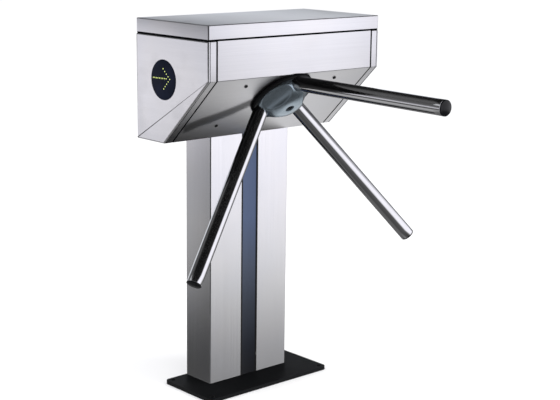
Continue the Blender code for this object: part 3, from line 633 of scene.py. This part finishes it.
def offset(points, depth, closed=True):
    """The path moved to its left by depth: inwards if it runs anticlockwise."""
    moved = []
    last = len(points) - 1
    for i, (x, y) in enumerate(points):
        last_x, last_y = points[i - 1]
        next_x, next_y = points[(i + 1) % len(points)]
        before = Vector((x - last_x, y - last_y)).normalized()
        after = Vector((next_x - x, next_y - y)).normalized()
        if not closed and i == 0:
            before = after
        if not closed and i == last:
            after = before
        left_before = Vector((-before.y, before.x))
        left_after = Vector((-after.y, after.x))
        mitre = (left_before + left_after) / (1 + left_before.dot(left_after))
        moved.append((x + mitre.x * depth, y + mitre.y * depth))
    return moved


def thickened(path, depth):
    """The outline of a sheet that follows an open path."""
    return path + offset(path, depth, closed=False)[::-1]


def circle(x, y, radius, count):
    angles = [2 * math.pi * i / count for i in range(count)]
    return [(x + radius * math.cos(a), y + radius * math.sin(a)) for a in angles]


def rectangle(x0, y0, x1, y1):
    return [(x0, y0), (x1, y0), (x1, y1), (x0, y1)]


def disc(node):
    """The centre y, z and the radius of a CAD disc that faces along X."""
    low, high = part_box(node)
    return (low.y + high.y) / 2, (low.z + high.z) / 2, (high.z - low.z) / 2


# ================================================================ cabinet
SHEET = 0.0015  # steel thickness
low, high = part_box("end_panel_left")
CABINET_X = -low.x
CABINET_Y0, CABINET_Y1 = low.y, high.y
CABINET_Z0, SEAM_Z = low.z, high.z
PANEL_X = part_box("front_panel")[1].x
SLOPE_Z = 0.846  # where the upright front meets the slope
SLOPE_FOOT_Y = CABINET_Y0 + (SLOPE_Z - CABINET_Z0) * math.tan(TILT)
# (y, z) round the cabinet, anticlockwise
SECTION = [
    (CABINET_Y0, SLOPE_Z),
    (SLOPE_FOOT_Y, CABINET_Z0),
    (CABINET_Y1, CABINET_Z0),
    (CABINET_Y1, SEAM_Z),
    (CABINET_Y0, SEAM_Z),
]
HUB_OPENING_R = 0.0785
# screw places on the slope, in the hub frame
SCREWS = [(x, y) for y in (0.0512, -0.1088) for x in (-0.150, 0.150)]
SCREW_HOLE_R = 0.0034

# front sheet: the upright front and the slope, with its holes
bend = rounded([SECTION[-1], SECTION[0], SECTION[1]], 0.0032, 6, closed=False)
front_mesh = plate([thickened(bend, SHEET)], -PANEL_X, PANEL_X, along_x())
front = add("front_sheet", front_mesh, STEEL_X, "root", "brushed_steel", "front_panel")
cut(front, rod(HUB_OPENING_R, -0.03, 0.03, 128, HUB))
for x, y in SCREWS:
    cut(front, rod(SCREW_HOLE_R, -0.03, 0.03, 32, HUB @ Matrix.Translation((x, y, 0))))
smooth(front, sharp=25)
bevel(front, 0.00035, angle=60)

CHEEK_INNER_X = 0.2822
CHEEK_ROUND = 0.0033
LENS_GAP = 0.0003
LOCK_HOLE_R = 0.009
# rings at the cabinet ends: name, finish, slot, inner x, outer x, inset of the outer edge,
# its corner radius, inset of the inner edge, bevel, CAD node stem
END_RINGS = [
    ("end_trim_", STEEL_X, "brushed_steel", 0.2622, 0.2798, 0, 0.0016, 0.005, 0.0006, "end_frame_"),
    ("end_gasket_", RUBBER, "seal_rubber", 0.27985, 0.28215, 0.0003, 0.001, 0.0046, 0.0004, None),
    ("gap_lining_", RUBBER, "seal_rubber", 0.25725, 0.26215, 0.0003, 0.001, 0.0048, 0.0004, None),
]


def end_cheek(side, sign):
    """An end panel with a rounded outer rim, shaped and cut at the left."""
    bm = bmesh.new()
    rim = rounded(SECTION, 0.0012, 3)
    inner = [bm.verts.new((-CHEEK_INNER_X, y, z)) for y, z in rim]
    outer = [bm.verts.new((-CABINET_X, y, z)) for y, z in rim]
    bm.faces.new(inner)
    face = bm.faces.new(outer)
    for i in range(len(rim)):
        j = (i + 1) % len(rim)
        bm.faces.new((inner[i], inner[j], outer[j], outer[i]))
    bmesh.ops.recalc_face_normals(bm, faces=bm.faces)
    bmesh.ops.bevel(bm, geom=list(face.edges), offset=CHEEK_ROUND, segments=7, profile=0.5,
                    affect="EDGES")
    cheek = add("end_cheek_" + side, mesh_of(bm), STEEL_END, "root", "brushed_steel",
                "end_panel_" + side)
    y, z, radius = disc("display_lens_" + side)
    holes = [(y, z, radius + LENS_GAP)]
    if sign > 0:
        y, z, _ = disc("lock_barrel")
        holes.append((y, z, LOCK_HOLE_R))
    for y, z, radius in holes:
        cut(cheek, rod(radius, -0.02, 0.02, 96, along_x(origin=(-0.284, y, z))))
    if sign > 0:
        cheek.data.transform(Matrix.Diagonal((-1, 1, 1, 1)))
        cheek.data.flip_normals()
    smooth(cheek, sharp=25)
    weighted = cheek.modifiers.new("even", "WEIGHTED_NORMAL")
    weighted.keep_sharp = True


for side, sign in SIDES:
    end_cheek(side, sign)
    for stem, finish, slot, x0, x1, outer, radius, inner, edge, node in END_RINGS:
        outlines = [rounded(offset(SECTION, outer), radius, 3), offset(SECTION, inner)]
        ring_mesh = plate(outlines, *sorted((sign * x0, sign * x1)), along_x())
        replaced = [node + side] if node else []
        bevel(add(stem + side, ring_mesh, finish, "root", slot, *replaced), edge)

# ---------------------------------------------------------------- lid
LID_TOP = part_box("lid")[1].z
LID_BOTTOM = LID_TOP - 0.0340

bm = bmesh.new()
lid_centre = Matrix.Translation((0, (CABINET_Y0 + CABINET_Y1) / 2, (LID_BOTTOM + LID_TOP) / 2))
lid_size = (2 * CABINET_X, CABINET_Y1 - CABINET_Y0, LID_TOP - LID_BOTTOM, 1.0)
bmesh.ops.create_cube(bm, size=1.0, matrix=lid_centre @ Matrix.Diagonal(lid_size))
upright = [e for e in bm.edges if abs(e.verts[0].co.z - e.verts[1].co.z) > 0.01]
bmesh.ops.bevel(bm, geom=upright, offset=0.0042, segments=7, profile=0.5, affect="EDGES")
top = [e for e in bm.edges if all(v.co.z > LID_TOP - 1e-5 for v in e.verts)]
bmesh.ops.bevel(bm, geom=top, offset=0.0024, segments=5, profile=0.5, affect="EDGES")
bottom = [f for f in bm.faces if f.normal.z < -0.9]
bmesh.ops.delete(bm, geom=bottom, context="FACES_ONLY")
lid = add("lid_cover", mesh_of(bm), STEEL_X, "lid", "brushed_steel", "lid", sharp=30)
shell = lid.modifiers.new("wall", "SOLIDIFY")
shell.thickness = SHEET
shell.offset = -1
shell.use_even_offset = True
bevel(lid, 0.0003, angle=60)

# L-shaped catch inside the lid: its path in (x, z), then its span in y
CATCH = [(0.2570, LID_TOP - SHEET - 0.0002), (0.2570, 0.9130), (0.2370, 0.9130)]
CATCH_Y0, CATCH_Y1 = -0.0755, -0.0555
CATCH_SHEET = 0.0022
XZ_TO_Y = Matrix(((1, 0, 0, 0), (0, 0, 1, 0), (0, 1, 0, 0), (0, 0, 0, 1)))
bend = rounded(CATCH, 0.0022, 4, closed=False)
catch_mesh = plate([thickened(bend, -CATCH_SHEET)], CATCH_Y0, CATCH_Y1, XZ_TO_Y)
bevel(add("lid_catch", catch_mesh, ZINC, "lid", "brushed_steel"), 0.0004)

SEAL_WIDTH = 0.008
low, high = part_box("lid_seal")
seal = rectangle(low.x, low.y, high.x, high.y)
seal_mesh = plate([rounded(seal, 0.0035, 4), offset(seal, SEAL_WIDTH)], low.z, high.z)
gasket = add("lid_gasket", seal_mesh, RUBBER, "root", "seal_rubber", "lid_seal")
bevel(gasket, 0.0009, segments=3)

# ---------------------------------------------------------------- direction displays
# both displays take their place from the right-hand lens
LENS_Y, LENS_Z, LENS_R = disc("display_lens_right")
LENS_BACK, LENS_RIM = 0.2830, 0.28600  # distances from the middle of the cabinet
CROWN_R, CROWN_BASE, CROWN_RISE = LENS_R - 0.0030, 0.28655, 0.0011
LED_R, LED_FLATNESS = 0.0016, 0.35
# (y, z) of the lights from the lens centre: a head that points to the front, and its shaft
ARROW = [
    (-0.0003, 0.0273), (-0.0069, 0.0214), (-0.0135, 0.0155), (-0.0201, 0.0096),
    (-0.0267, 0.0037), (-0.0207, -0.0027), (-0.0146, -0.0091), (-0.0086, -0.0155),
    (-0.0026, -0.0219),
]
ARROW += [(0.0405 - 0.0531 * k / 8, 0.0026 + 0.0014 * k / 8) for k in range(9)]

for side, sign in SIDES:
    to_end = along_x(sign, (0, LENS_Y, LENS_Z))
    profile = [(0, LENS_BACK), (LENS_R, LENS_BACK), (LENS_R, LENS_RIM)]
    profile += quarter(LENS_R, LENS_RIM, across=0.0012, rise=0.0007, steps=4)
    profile += crown(CROWN_R, CROWN_BASE, CROWN_RISE, steps=8)
    add("display_window_" + side, lathe(profile, 96, to_end), LENS, "root", "display_lens",
        "display_lens_" + side, sharp=50)
    # flattened balls centred on the face of the window
    bm = bmesh.new()
    for y, z in ARROW:
        share = min(math.hypot(y, z) / CROWN_R, 1)
        spot = Matrix.Translation((y, z, CROWN_BASE + CROWN_RISE * (1 - share**2)))
        flatten = Matrix.Diagonal((1, 1, LED_FLATNESS, 1))
        bmesh.ops.create_uvsphere(bm, u_segments=16, v_segments=10, radius=LED_R,
                                  matrix=to_end @ spot @ flatten)
    add("display_lights_" + side, mesh_of(bm), LED, "root", "display_lens")

# ---------------------------------------------------------------- column and floor plate
COLUMN_ROUND = 0.0036
for side, sign in SIDES:
    node = "column_shell_" + side
    low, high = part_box(node)
    inner, outer = sorted((abs(low.x), abs(high.x)))
    path = [(inner, low.y), (outer, low.y), (outer, high.y), (inner, high.y)]
    if sign < 0:
        path = [(-x, y) for x, y in path[::-1]]
    path = rounded(path, COLUMN_ROUND, 8, closed=False)
    sheet_mesh = plate([thickened(path, SHEET)], low.z, high.z)
    sheet = add("column_sheet_" + side, sheet_mesh, STEEL_Z, "root", "brushed_steel", node,
                sharp=30)
    bevel(sheet, 0.0004)

# strips with a lip at both edges and a flat face set back between them
LIP, FACE_DEPTH = 0.0016, 0.0006
for where, sign in (("front", -1), ("rear", 1)):
    node = "column_strip_" + where
    low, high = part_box(node)
    face, back = (low.y, high.y) if sign < 0 else (high.y, low.y)
    recess = face - sign * FACE_DEPTH
    profile = [
        (low.x, back), (low.x, face), (low.x + LIP, face), (low.x + 2 * LIP, recess),
        (high.x - 2 * LIP, recess), (high.x - LIP, face), (high.x, face), (high.x, back),
    ]
    if sign > 0:
        profile = profile[::-1]
    strip = add("column_inlay_" + where, plate([profile], low.z, high.z), INLAY, "root",
                "dark_strip", node, sharp=30)
    bevel(strip, 0.0003, angle=30)

low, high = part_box("base_plate")
outlines = [rounded(rectangle(low.x, low.y, high.x, high.y), 0.012, 10)]
outlines += [circle(x, y, 0.006, 40) for x in (-0.190, 0.190) for y in (-0.083, 0.083)]
outlines.append(circle(0, 0.046, 0.020, 48))
floor_plate = add("floor_plate", plate(outlines, low.z, high.z), COAT, "root", "black_paint",
                  "base_plate", sharp=40)
bevel(floor_plate, 0.0009, segments=3)
floor_plate.visible_glossy = False

# ================================================================ hub and arms
CLOCK = math.radians(1.4)  # turn of the arms about the hub axis
CONE = math.radians(45.5)  # between each arm and the hub axis
APEX = 0.0490  # depth behind the hub foot at which the arm axes meet
HUB_R, HUB_BOTTOM = 0.0745, -0.014
DOME_BASE, DOME_TOP = 0.004, 0.046
POLE_R, POLE_BORE = 0.018, 0.0110  # flat top of the dome and the hole in it
SCOOP_R, SCOOP_DEPTH, SCOOP_EDGE = 0.055, 0.0145, 0.0022
HEART = Vector((0, 0, -0.012))  # dome points move along rays from here


def azimuth(k):
    return math.pi / 2 + CLOCK + 2 * math.pi * k / 3


def arm_frame(k):
    """Arm k's frame: z runs out along the arm from where the arm axes meet."""
    turn = azimuth(k)
    axis = Vector((math.sin(CONE) * math.cos(turn), math.sin(CONE) * math.sin(turn),
                   math.cos(CONE)))
    lean = axis.to_track_quat("Z", "Y").to_matrix().to_4x4()
    return HUB @ Matrix.Translation((0, 0, -APEX)) @ lean


ARM_FRAMES = [arm_frame(k) for k in range(3)]

# cylindrical hollows between the arms: (point on the axis, axis direction)
scoops = []
for k in range(3):
    middle = azimuth(k) + math.pi / 3
    away = Vector((0.76 * math.cos(middle), 0.76 * math.sin(middle), 0.65)).normalized()
    spot = turned(0.0595, 0.0370, middle)
    axis = Vector((-math.sin(middle), math.cos(middle), 0))
    scoops.append((spot + away * (SCOOP_R - SCOOP_DEPTH), axis))


def smooth_min(one, other, width):
    """A minimum that blends the two within width, for a rounded edge."""
    near = max(width - abs(one - other), 0.0) / width
    return min(one, other) - near * near * width * 0.25


def hub_point(radius, height, angle):
    """A turned point, pulled in where a hollow crosses its ray."""
    point = turned(radius, height, angle)
    if height <= DOME_BASE - 1e-6 or radius <= POLE_R - 0.006:
        return point
    ray = point - HEART
    reach = ray.length
    ray.normalize()
    for centre, axis in scoops:
        to_heart = HEART - centre
        ray_across = ray - axis * ray.dot(axis)
        heart_across = to_heart - axis * to_heart.dot(axis)
        # the ray meets the cylinder where square * t^2 + linear * t + constant = 0
        square = ray_across.dot(ray_across)
        linear = 2 * ray_across.dot(heart_across)
        constant = heart_across.dot(heart_across) - SCOOP_R * SCOOP_R
        inside = linear * linear - 4 * square * constant
        if inside > 0:
            hit = (-linear - math.sqrt(inside)) / (2 * square)
            if hit > 0:
                reach = smooth_min(reach, hit, SCOOP_EDGE)
    return HEART + ray * reach


# Casting: flat bottom, wall, dome, then the rounded lip and steps of the bore
profile = [(0.0125 + (HUB_R - 0.001 - 0.0125) * k / 4, HUB_BOTTOM) for k in range(5)]
profile += [(HUB_R - 0.0003, -0.0137), (HUB_R, -0.013)]
profile += [(HUB_R, -0.013 + (DOME_BASE + 0.013) * k / 5) for k in range(1, 6)]
profile += quarter(HUB_R, DOME_BASE, HUB_R - POLE_R, DOME_TOP - DOME_BASE, steps=64)
profile += [
    (0.0160, DOME_TOP), (0.0138, DOME_TOP), (0.0122, DOME_TOP),
    (0.0117, DOME_TOP - 0.00012), (0.0113, DOME_TOP - 0.0005), (0.0111, DOME_TOP - 0.0011),
    (POLE_BORE, DOME_TOP - 0.0018), (POLE_BORE, 0.0395), (0.0108, 0.0374),
    (0.0104, 0.0370), (0.0050, 0.0370), (0.0050, 0.0285), (0.0125, 0.0285),
]
add("hub_casting", lathe(profile, 240, HUB, shape=hub_point), CASTING, "rotor", "cast_hub",
    "hub_body", sharp=40)

# moulded skirt round the hub, notched where the arms leave it
SKIRT_R, SKIRT_TOP, SKIRT_ROUND = 0.0860, 0.0100, 0.0045
SKIRT_INNER_R = HUB_R + 0.0003
NOTCH_R = 0.0193
profile = [(SKIRT_INNER_R, 0.0008), (SKIRT_R - 0.0006, 0.0008), (SKIRT_R - 0.0002, 0.0010),
           (SKIRT_R, 0.0014)]
profile += quarter(SKIRT_R, SKIRT_TOP - SKIRT_ROUND, SKIRT_ROUND, SKIRT_ROUND, steps=9, first=0)
profile += [(HUB_R + 0.0012, SKIRT_TOP), (HUB_R + 0.0005, SKIRT_TOP - 0.0002),
            (SKIRT_INNER_R, SKIRT_TOP - 0.0008)]
skirt = add("hub_skirt_ring", lathe(profile, 192, HUB), MOULDED, "rotor", "black_plastic",
            "hub_skirt", sharp=40)
for place in ARM_FRAMES:
    cut(skirt, rod(NOTCH_R, 0.060, 0.20, 96, place))
smooth(skirt, sharp=40)

# socket bolt in the pole
profile = [(0, 0.0373), (0.0080, 0.0373), (0.0080, 0.0409), (0.0078, 0.0413),
           (0.0074, 0.0415), (0, 0.0415)]
bolt = add("hub_bolt_head", lathe(profile, 64, HUB), SCREW, "rotor", "zinc_steel", "hub_bolt",
           sharp=40)
cut(bolt, plate([circle(0, 0, 0.0046, 6)], 0.0385, 0.045, HUB))
smooth(bolt)
bevel(bolt, 0.00025)

# polished arms, each with an end plug; lengths run from where the arm axes meet
ARM_R, ARM_WALL, ARM_START, ARM_END = 0.019, 0.0016, 0.071, 0.592
BORE_R = ARM_R - ARM_WALL
TUBE_END = ARM_END - 0.0033
TUBE_RUN = TUBE_END - 0.0006 - ARM_START
PLUG_ROUND = 0.0022
tube = [(BORE_R, ARM_START), (ARM_R - 0.0003, ARM_START), (ARM_R, ARM_START + 0.0003)]
tube += [(ARM_R, ARM_START + TUBE_RUN * k / 24) for k in range(1, 25)]
tube += [(ARM_R - 0.0001, TUBE_END - 0.0003), (ARM_R - 0.0003, TUBE_END - 0.0001),
         (ARM_R - 0.0006, TUBE_END), (BORE_R, TUBE_END)]
plug = [
    (0, ARM_END - 0.020), (BORE_R - 0.0012, ARM_END - 0.020),
    (BORE_R - 0.0003, ARM_END - 0.0185), (BORE_R - 0.0003, ARM_END - 0.0031),
    (ARM_R - 0.0006, ARM_END - 0.0031), (ARM_R, ARM_END - 0.0026), (ARM_R, ARM_END - 0.0014),
]
plug += quarter(ARM_R, ARM_END - 0.0014, across=PLUG_ROUND, rise=0.0016, steps=5)
plug += crown(ARM_R - PLUG_ROUND, ARM_END + 0.0002, rise=0.0026, steps=6)
for k, place in enumerate(ARM_FRAMES, start=1):
    # neither shows in mirror-like surfaces
    add(f"arm_tube_{k}", lathe(tube, 96, place), CHROME, "rotor", "polished_steel",
        f"arm_{k}", sharp=40).visible_glossy = False
    add(f"arm_plug_{k}", lathe(plug, 80, place), CAP, "rotor", "black_plastic",
        f"arm_cap_{k}", sharp=50).visible_glossy = False

# four socket-head screws in the slope
SCREW_HEAD_R = 0.0045
profile = [(0, -0.0200), (0.0024, -0.0200), (0.0027, -0.0197), (0.0027, 0.0003),
           (SCREW_HEAD_R, 0.0003), (SCREW_HEAD_R, 0.0016)]
profile += quarter(SCREW_HEAD_R, 0.0016, across=0.0010, rise=0.0008, steps=4)
profile.append((0, 0.0024))
for i, (x, y) in enumerate(SCREWS, start=1):
    place = HUB @ Matrix.Translation((x, y, 0))
    screw = add(f"slope_screw_{i}", lathe(profile, 40, place), SCREW, "root", "black_paint",
                f"panel_screw_{i}", sharp=40)
    cut(screw, plate([circle(0, 0, 0.0022, 6)], 0.0010, 0.005, place))
    smooth(screw)

# ================================================================ remaining CAD nodes
FINISH = {
    "brushed_steel": STEEL_X,
    "polished_steel": CHROME,
    "cast_hub": CASTING,
    "zinc_steel": ZINC,
    "bearing_steel": GROUND,
    "black_paint": COAT,
    "black_plastic": MOULDED,
    "seal_rubber": RUBBER,
    "dark_strip": INLAY,
    "display_lens": LENS,
    "circuit_board": BOARD,
    "solenoid_coil": COIL,
    "brass": BRASS,
}
NOT_BEVELLED = ("follower_spring", "supply_cable", "drive_gear")
FINE_BEVEL = ("counter_pinion", "plunger_entry", "plunger_exit")
slot_of = {part["node"]: part["material_slot"] for part in frame["record"]["subparts"]}
for name, obj in frame["nodes"].items():
    if obj.hide_render:
        continue
    finish = CABLE if name == "supply_cable" else FINISH[slot_of[name]]
    if not obj.material_slots:
        obj.data.materials.append(finish)
    for slot in obj.material_slots:
        slot.link = "OBJECT"
        slot.material = finish
    weld = obj.modifiers.new("weld", "WELD")
    weld.merge_threshold = 1e-5
    if name not in NOT_BEVELLED:
        bevel(obj, 0.0002 if name in FINE_BEVEL else 0.0004, angle=40)

# ================================================================ studio world
# Soft light from all round. Mirror-like surfaces see light panels, a dark ceiling and a
# dark place where the camera stands.
COOL, LILAC = (0.95, 0.99, 1.06), (0.985, 0.975, 1.03)
# azimuth in degrees from +X, then the weights of the front-right, back-right and
# back-left parts of the studio
PART_WEIGHTS = [
    (-180, 0, 0, 0.25), (-172, 0, 0, 0), (-104, 0, 0, 0), (-90, 0.85, 0, 0), (-76, 1, 0, 0),
    (-18, 1, 0, 0), (2, 0, 0.86, 0), (12, 0, 0.90, 0), (19, 0, 1.04, 0), (24, 0, 1.30, 0),
    (31, 0, 0.66, 0), (37, 0, 0.64, 0), (45, 0, 1, 0), (84, 0, 1, 0), (98, 0, 0.30, 0.50),
    (111, 0, 0.14, 0.76), (121, 0, 0, 1), (126, 0, 0, 1), (131, 0, 0, 0.64),
    (164, 0, 0, 0.58), (180, 0, 0, 0.25),
]
# what each part shows by height: z of the direction, brightness, tint if not neutral
FRONT_RIGHT = [
    (-1, 0.12), (-0.62, 0.05), (-0.42, 0.16), (-0.335, 0.30), (-0.31, 0.44), (-0.28, 0.76),
    (-0.255, 1.02), (-0.22, 1.14, LILAC), (-0.16, 1.34, LILAC), (-0.10, 1.42, LILAC),
    (0.24, 1.42, LILAC), (0.36, 0.02), (1, 0.004),
]
BACK_RIGHT = [
    (-1, 0.26), (-0.86, 0.62), (-0.76, 0.94), (-0.66, 0.88), (-0.45, 0.66), (-0.15, 0.95),
    (0.06, 1.06, COOL), (0.19, 0.92, COOL), (0.30, 0.40, COOL), (0.42, 0.02), (1, 0.004),
]
BACK_LEFT = [
    (-1, 0.16), (-0.76, 0.20), (-0.62, 0.52), (-0.50, 0.56), (-0.42, 0.46), (-0.385, 0.20),
    (-0.355, 0.02), (-0.315, 0.04), (-0.29, 0.17), (-0.262, 0.46), (-0.195, 0.52),
    (-0.17, 1.35, LILAC), (-0.105, 1.45, LILAC), (-0.085, 1.05, LILAC), (-0.06, 0.86, LILAC),
    (0.0, 0.44, LILAC), (0.12, 0.24), (0.34, 0.15), (0.50, 0.12), (0.62, 0.13), (0.72, 0.13),
    (0.76, 0.09), (0.80, 0.01), (1, 0.004),
]
CAMERA_SIDE = [
    (-1, 0.30), (-0.93, 0.16), (-0.88, 0.09), (-0.70, 0.10), (-0.45, 0.13), (-0.32, 0.04),
    (-0.2, 0.01), (0.2, 0.01), (1, 0.004),
]
# light on matt surfaces, from straight below to straight above
SOFT = [(0.0, (0.8, 0.8, 0.8)), (0.5, (0.95, 0.95, 0.96)), (1.0, (1.15, 1.15, 1.16))]


def degrees(angle):
    """An azimuth as a share of the full turn that starts at -180 degrees."""
    return (angle + 180.0) / 360.0


def reflections(tree, turn, z):
    """What mirror-like surfaces see."""

    def turn_step(start, end):
        return tree.step(turn, degrees(start), degrees(end))

    def part_light(stops):
        share = tree.add(tree.mul(z, 0.5), 0.5)
        colours = []
        for height, level, *tint in stops:
            red_green_blue = tuple(level * c for c in (tint[0] if tint else (1, 1, 1)))
            colours.append(((height + 1) / 2, red_green_blue))
        return tree.ramp(share, colours)

    def patch(turn_in, turn_out, z_in, z_out):
        """1 between the edges of a patch; each edge is (start, end) of its fade."""
        around = tree.mul(turn_step(*turn_in), turn_step(*turn_out))
        return tree.mul(around, tree.mul(tree.step(z, *z_in), tree.step(z, *z_out)))

    weights = tree.new("ShaderNodeSeparateColor")
    stops = [(degrees(angle), tuple(parts)) for angle, *parts in PART_WEIGHTS]
    tree.put(weights.inputs[0], tree.ramp(turn, stops))
    front_right, back_right, back_left = weights.outputs[:3]

    # of the back-right part, only the low near side and the high far side are fully lit
    far = turn_step(35, 43)
    unlit_far = tree.mul(far, tree.step(z, start=-0.24, end=-0.40))
    unlit_near = tree.mul(tree.sub(1.0, far), tree.step(z, start=-0.52, end=-0.38))
    dimming = tree.mul(tree.add(unlit_far, unlit_near), 0.78)
    back_right_light = tree.scale(part_light(BACK_RIGHT), tree.sub(1.0, dimming))

    # two more panels: low behind the camera, and high at the left
    low_panel = patch((-176, -164), (-112, -120), (-0.54, -0.48), (-0.26, -0.36))
    high_panel = patch((133, 139), (178, 168), (0.32, 0.40), (0.66, 0.58))
    low_colour, high_colour, panel_level = (0.22, 0.22, 0.23), (0.60, 0.61, 0.63), 1.0
    panels = tree.vec("ADD", tree.scale(low_colour, low_panel),
                      tree.scale(high_colour, high_panel))
    panels = tree.scale(panels, panel_level)

    used = tree.add(tree.add(front_right, back_right), back_left)
    camera_side = tree.math("SUBTRACT", 1.0, used, clamp=True)
    right = tree.vec("ADD", tree.scale(part_light(FRONT_RIGHT), front_right),
                     tree.scale(back_right_light, back_right))
    left = tree.vec("ADD", tree.scale(part_light(BACK_LEFT), back_left),
                    tree.scale(part_light(CAMERA_SIDE), camera_side))
    return tree.vec("ADD", tree.vec("ADD", right, left), panels)


world = bpy.data.worlds.new("studio")
bpy.context.scene.world = world
world.use_nodes = True
tree = Graph(world.node_tree)
for node in list(world.node_tree.nodes):
    world.node_tree.nodes.remove(node)
direction = tree.new("ShaderNodeTexCoord").outputs["Generated"]
x, y, z = tree.split(tree.vec("NORMALIZE", direction))[:3]
azimuth_angle = tree.math("ARCTAN2", y, x)
turn = tree.add(tree.math("DIVIDE", azimuth_angle, 2 * math.pi), 0.5)
glossy = reflections(tree, turn, z)
path = tree.new("ShaderNodeLightPath")
soft = tree.ramp(tree.add(tree.mul(z, 0.5), 0.5), SOFT)
colour = tree.mix(path.outputs["Is Glossy Ray"], soft, glossy)
colour = tree.mix(path.outputs["Is Camera Ray"], colour, (1.0, 1.0, 1.0))
background = tree.new("ShaderNodeBackground")
tree.feed(background, Color=colour, Strength=1.0)
tree.put(tree.new("ShaderNodeOutputWorld").inputs[0], background.outputs[0])

# ================================================================ studio floor and painted arm shadow
bm = bmesh.new()
bmesh.ops.create_grid(bm, x_segments=8, y_segments=8, size=30.0)
floor = new_object("studio_floor", mesh_of(bm))
material, tree, shader, place = new_material("pale_floor", Roughness=0.9, Specular_IOR_Level=0.0)
cloud = tree.noise(place, scale=1.3, detail=3.0)
tree.feed(shader, Base_Color=tree.blend(cloud, (0.93, 0.93, 0.935), (0.955, 0.955, 0.955)))
floor.data.materials.append(material)
floor.visible_glossy = False

# A painted shadow of the left arm: a narrow black sheet over the sloped sheet, seen only in
# the sheet's shine, where the left arm keeps the light off it. (x, y) of its middle line in the hub frame.
ARM_SHADOW_LINE = [(-0.066, -0.011), (-0.092, -0.0235), (-0.132, -0.0465), (-0.178, -0.066),
             (-0.225, -0.082), (-0.262, -0.100)]
ARM_SHADOW_LIFT = Vector((0.63, -0.65, 0.42))  # direction in which it stands off the sheet
bm = bmesh.new()
rows = []
for i, (x, y) in enumerate(ARM_SHADOW_LINE):
    last_x, last_y = ARM_SHADOW_LINE[max(i - 1, 0)]
    next_x, next_y = ARM_SHADOW_LINE[min(i + 1, len(ARM_SHADOW_LINE) - 1)]
    run = Vector((next_x - last_x, next_y - last_y, 0)).normalized()
    across = Vector((run.y, -run.x, 0))
    centre = Vector((x, y, 0)) + ARM_SHADOW_LIFT * (0.018 + 0.004 * i)
    half_width = 0.0165 + 0.0006 * i
    rows.append([bm.verts.new(HUB @ (centre + across * half_width * q)) for q in (-1, 1)])
for one, other in zip(rows, rows[1:]):
    bm.faces.new((one[0], one[1], other[1], other[0]))
# painted shadow: a black sheet seen only in reflections
arm_shadow_sheet = new_object("painted_arm_shadow", mesh_of(bm))
material, tree, shader, place = new_material("painted_shadow_black", Roughness=1.0, Specular_IOR_Level=0.0)
# slight mottle in the black of the painted shadow
shadow_mottle = tree.noise(place, scale=40.0)
shadow_black = tree.blend(shadow_mottle, (0.002, 0.002, 0.002), (0.004, 0.004, 0.004))
tree.feed(shader, Base_Color=shadow_black, Alpha=0.75)
arm_shadow_sheet.data.materials.append(material)
arm_shadow_sheet.visible_camera = False
arm_shadow_sheet.visible_diffuse = False
arm_shadow_sheet.visible_shadow = False
arm_shadow_sheet.visible_transmission = False


# ================================================================ lamps and camera
def lamp(name, place, target, size, power, colour):
    data = bpy.data.lights.new(name, "AREA")
    data.shape = "RECTANGLE"
    data.size, data.size_y = size
    data.energy = power
    data.color = colour
    made = bpy.data.objects.new(name, data)
    SCENE.objects.link(made)
    made.location = place
    made.rotation_mode = "QUATERNION"
    made.rotation_quaternion = (Vector(target) - Vector(place)).to_track_quat("-Z", "Y")
    made.visible_glossy = False


lamp("key_softbox", place=(2.6, -2.8, 2.8), target=(0, -0.1, 0.6), size=(2.2, 2.2), power=70,
     colour=(1.0, 0.99, 0.98))
lamp("fill_softbox", place=(-3.2, 0.6, 2.2), target=(0, 0, 0.6), size=(2.5, 2.0), power=40,
     colour=(0.97, 0.98, 1.0))

CAMERA_PLACE = (-2.2332, -2.5985, 1.2417)
yaw, pitch, roll = math.radians(42.08), math.radians(-12.32), math.radians(0.74)
forward = Vector((math.sin(yaw) * math.cos(pitch), math.cos(yaw) * math.cos(pitch),
                  math.sin(pitch)))
level_right = Vector((math.cos(yaw), -math.sin(yaw), 0))
level_up = level_right.cross(forward)
right = level_right * math.cos(roll) + level_up * math.sin(roll)
up = -level_right * math.sin(roll) + level_up * math.cos(roll)
camera_data = bpy.data.cameras.new("camera")
camera_data.sensor_width = 36.0
camera_data.lens = 84.87
camera_data.clip_end = 200
camera = bpy.data.objects.new("camera", camera_data)
SCENE.objects.link(camera)
camera.matrix_world = Matrix((*zip(right, up, -forward, CAMERA_PLACE), (0, 0, 0, 1)))
bpy.context.scene.camera = camera
bpy.context.scene.view_settings.view_transform = "Standard"
bpy.context.scene.view_settings.look = "None"
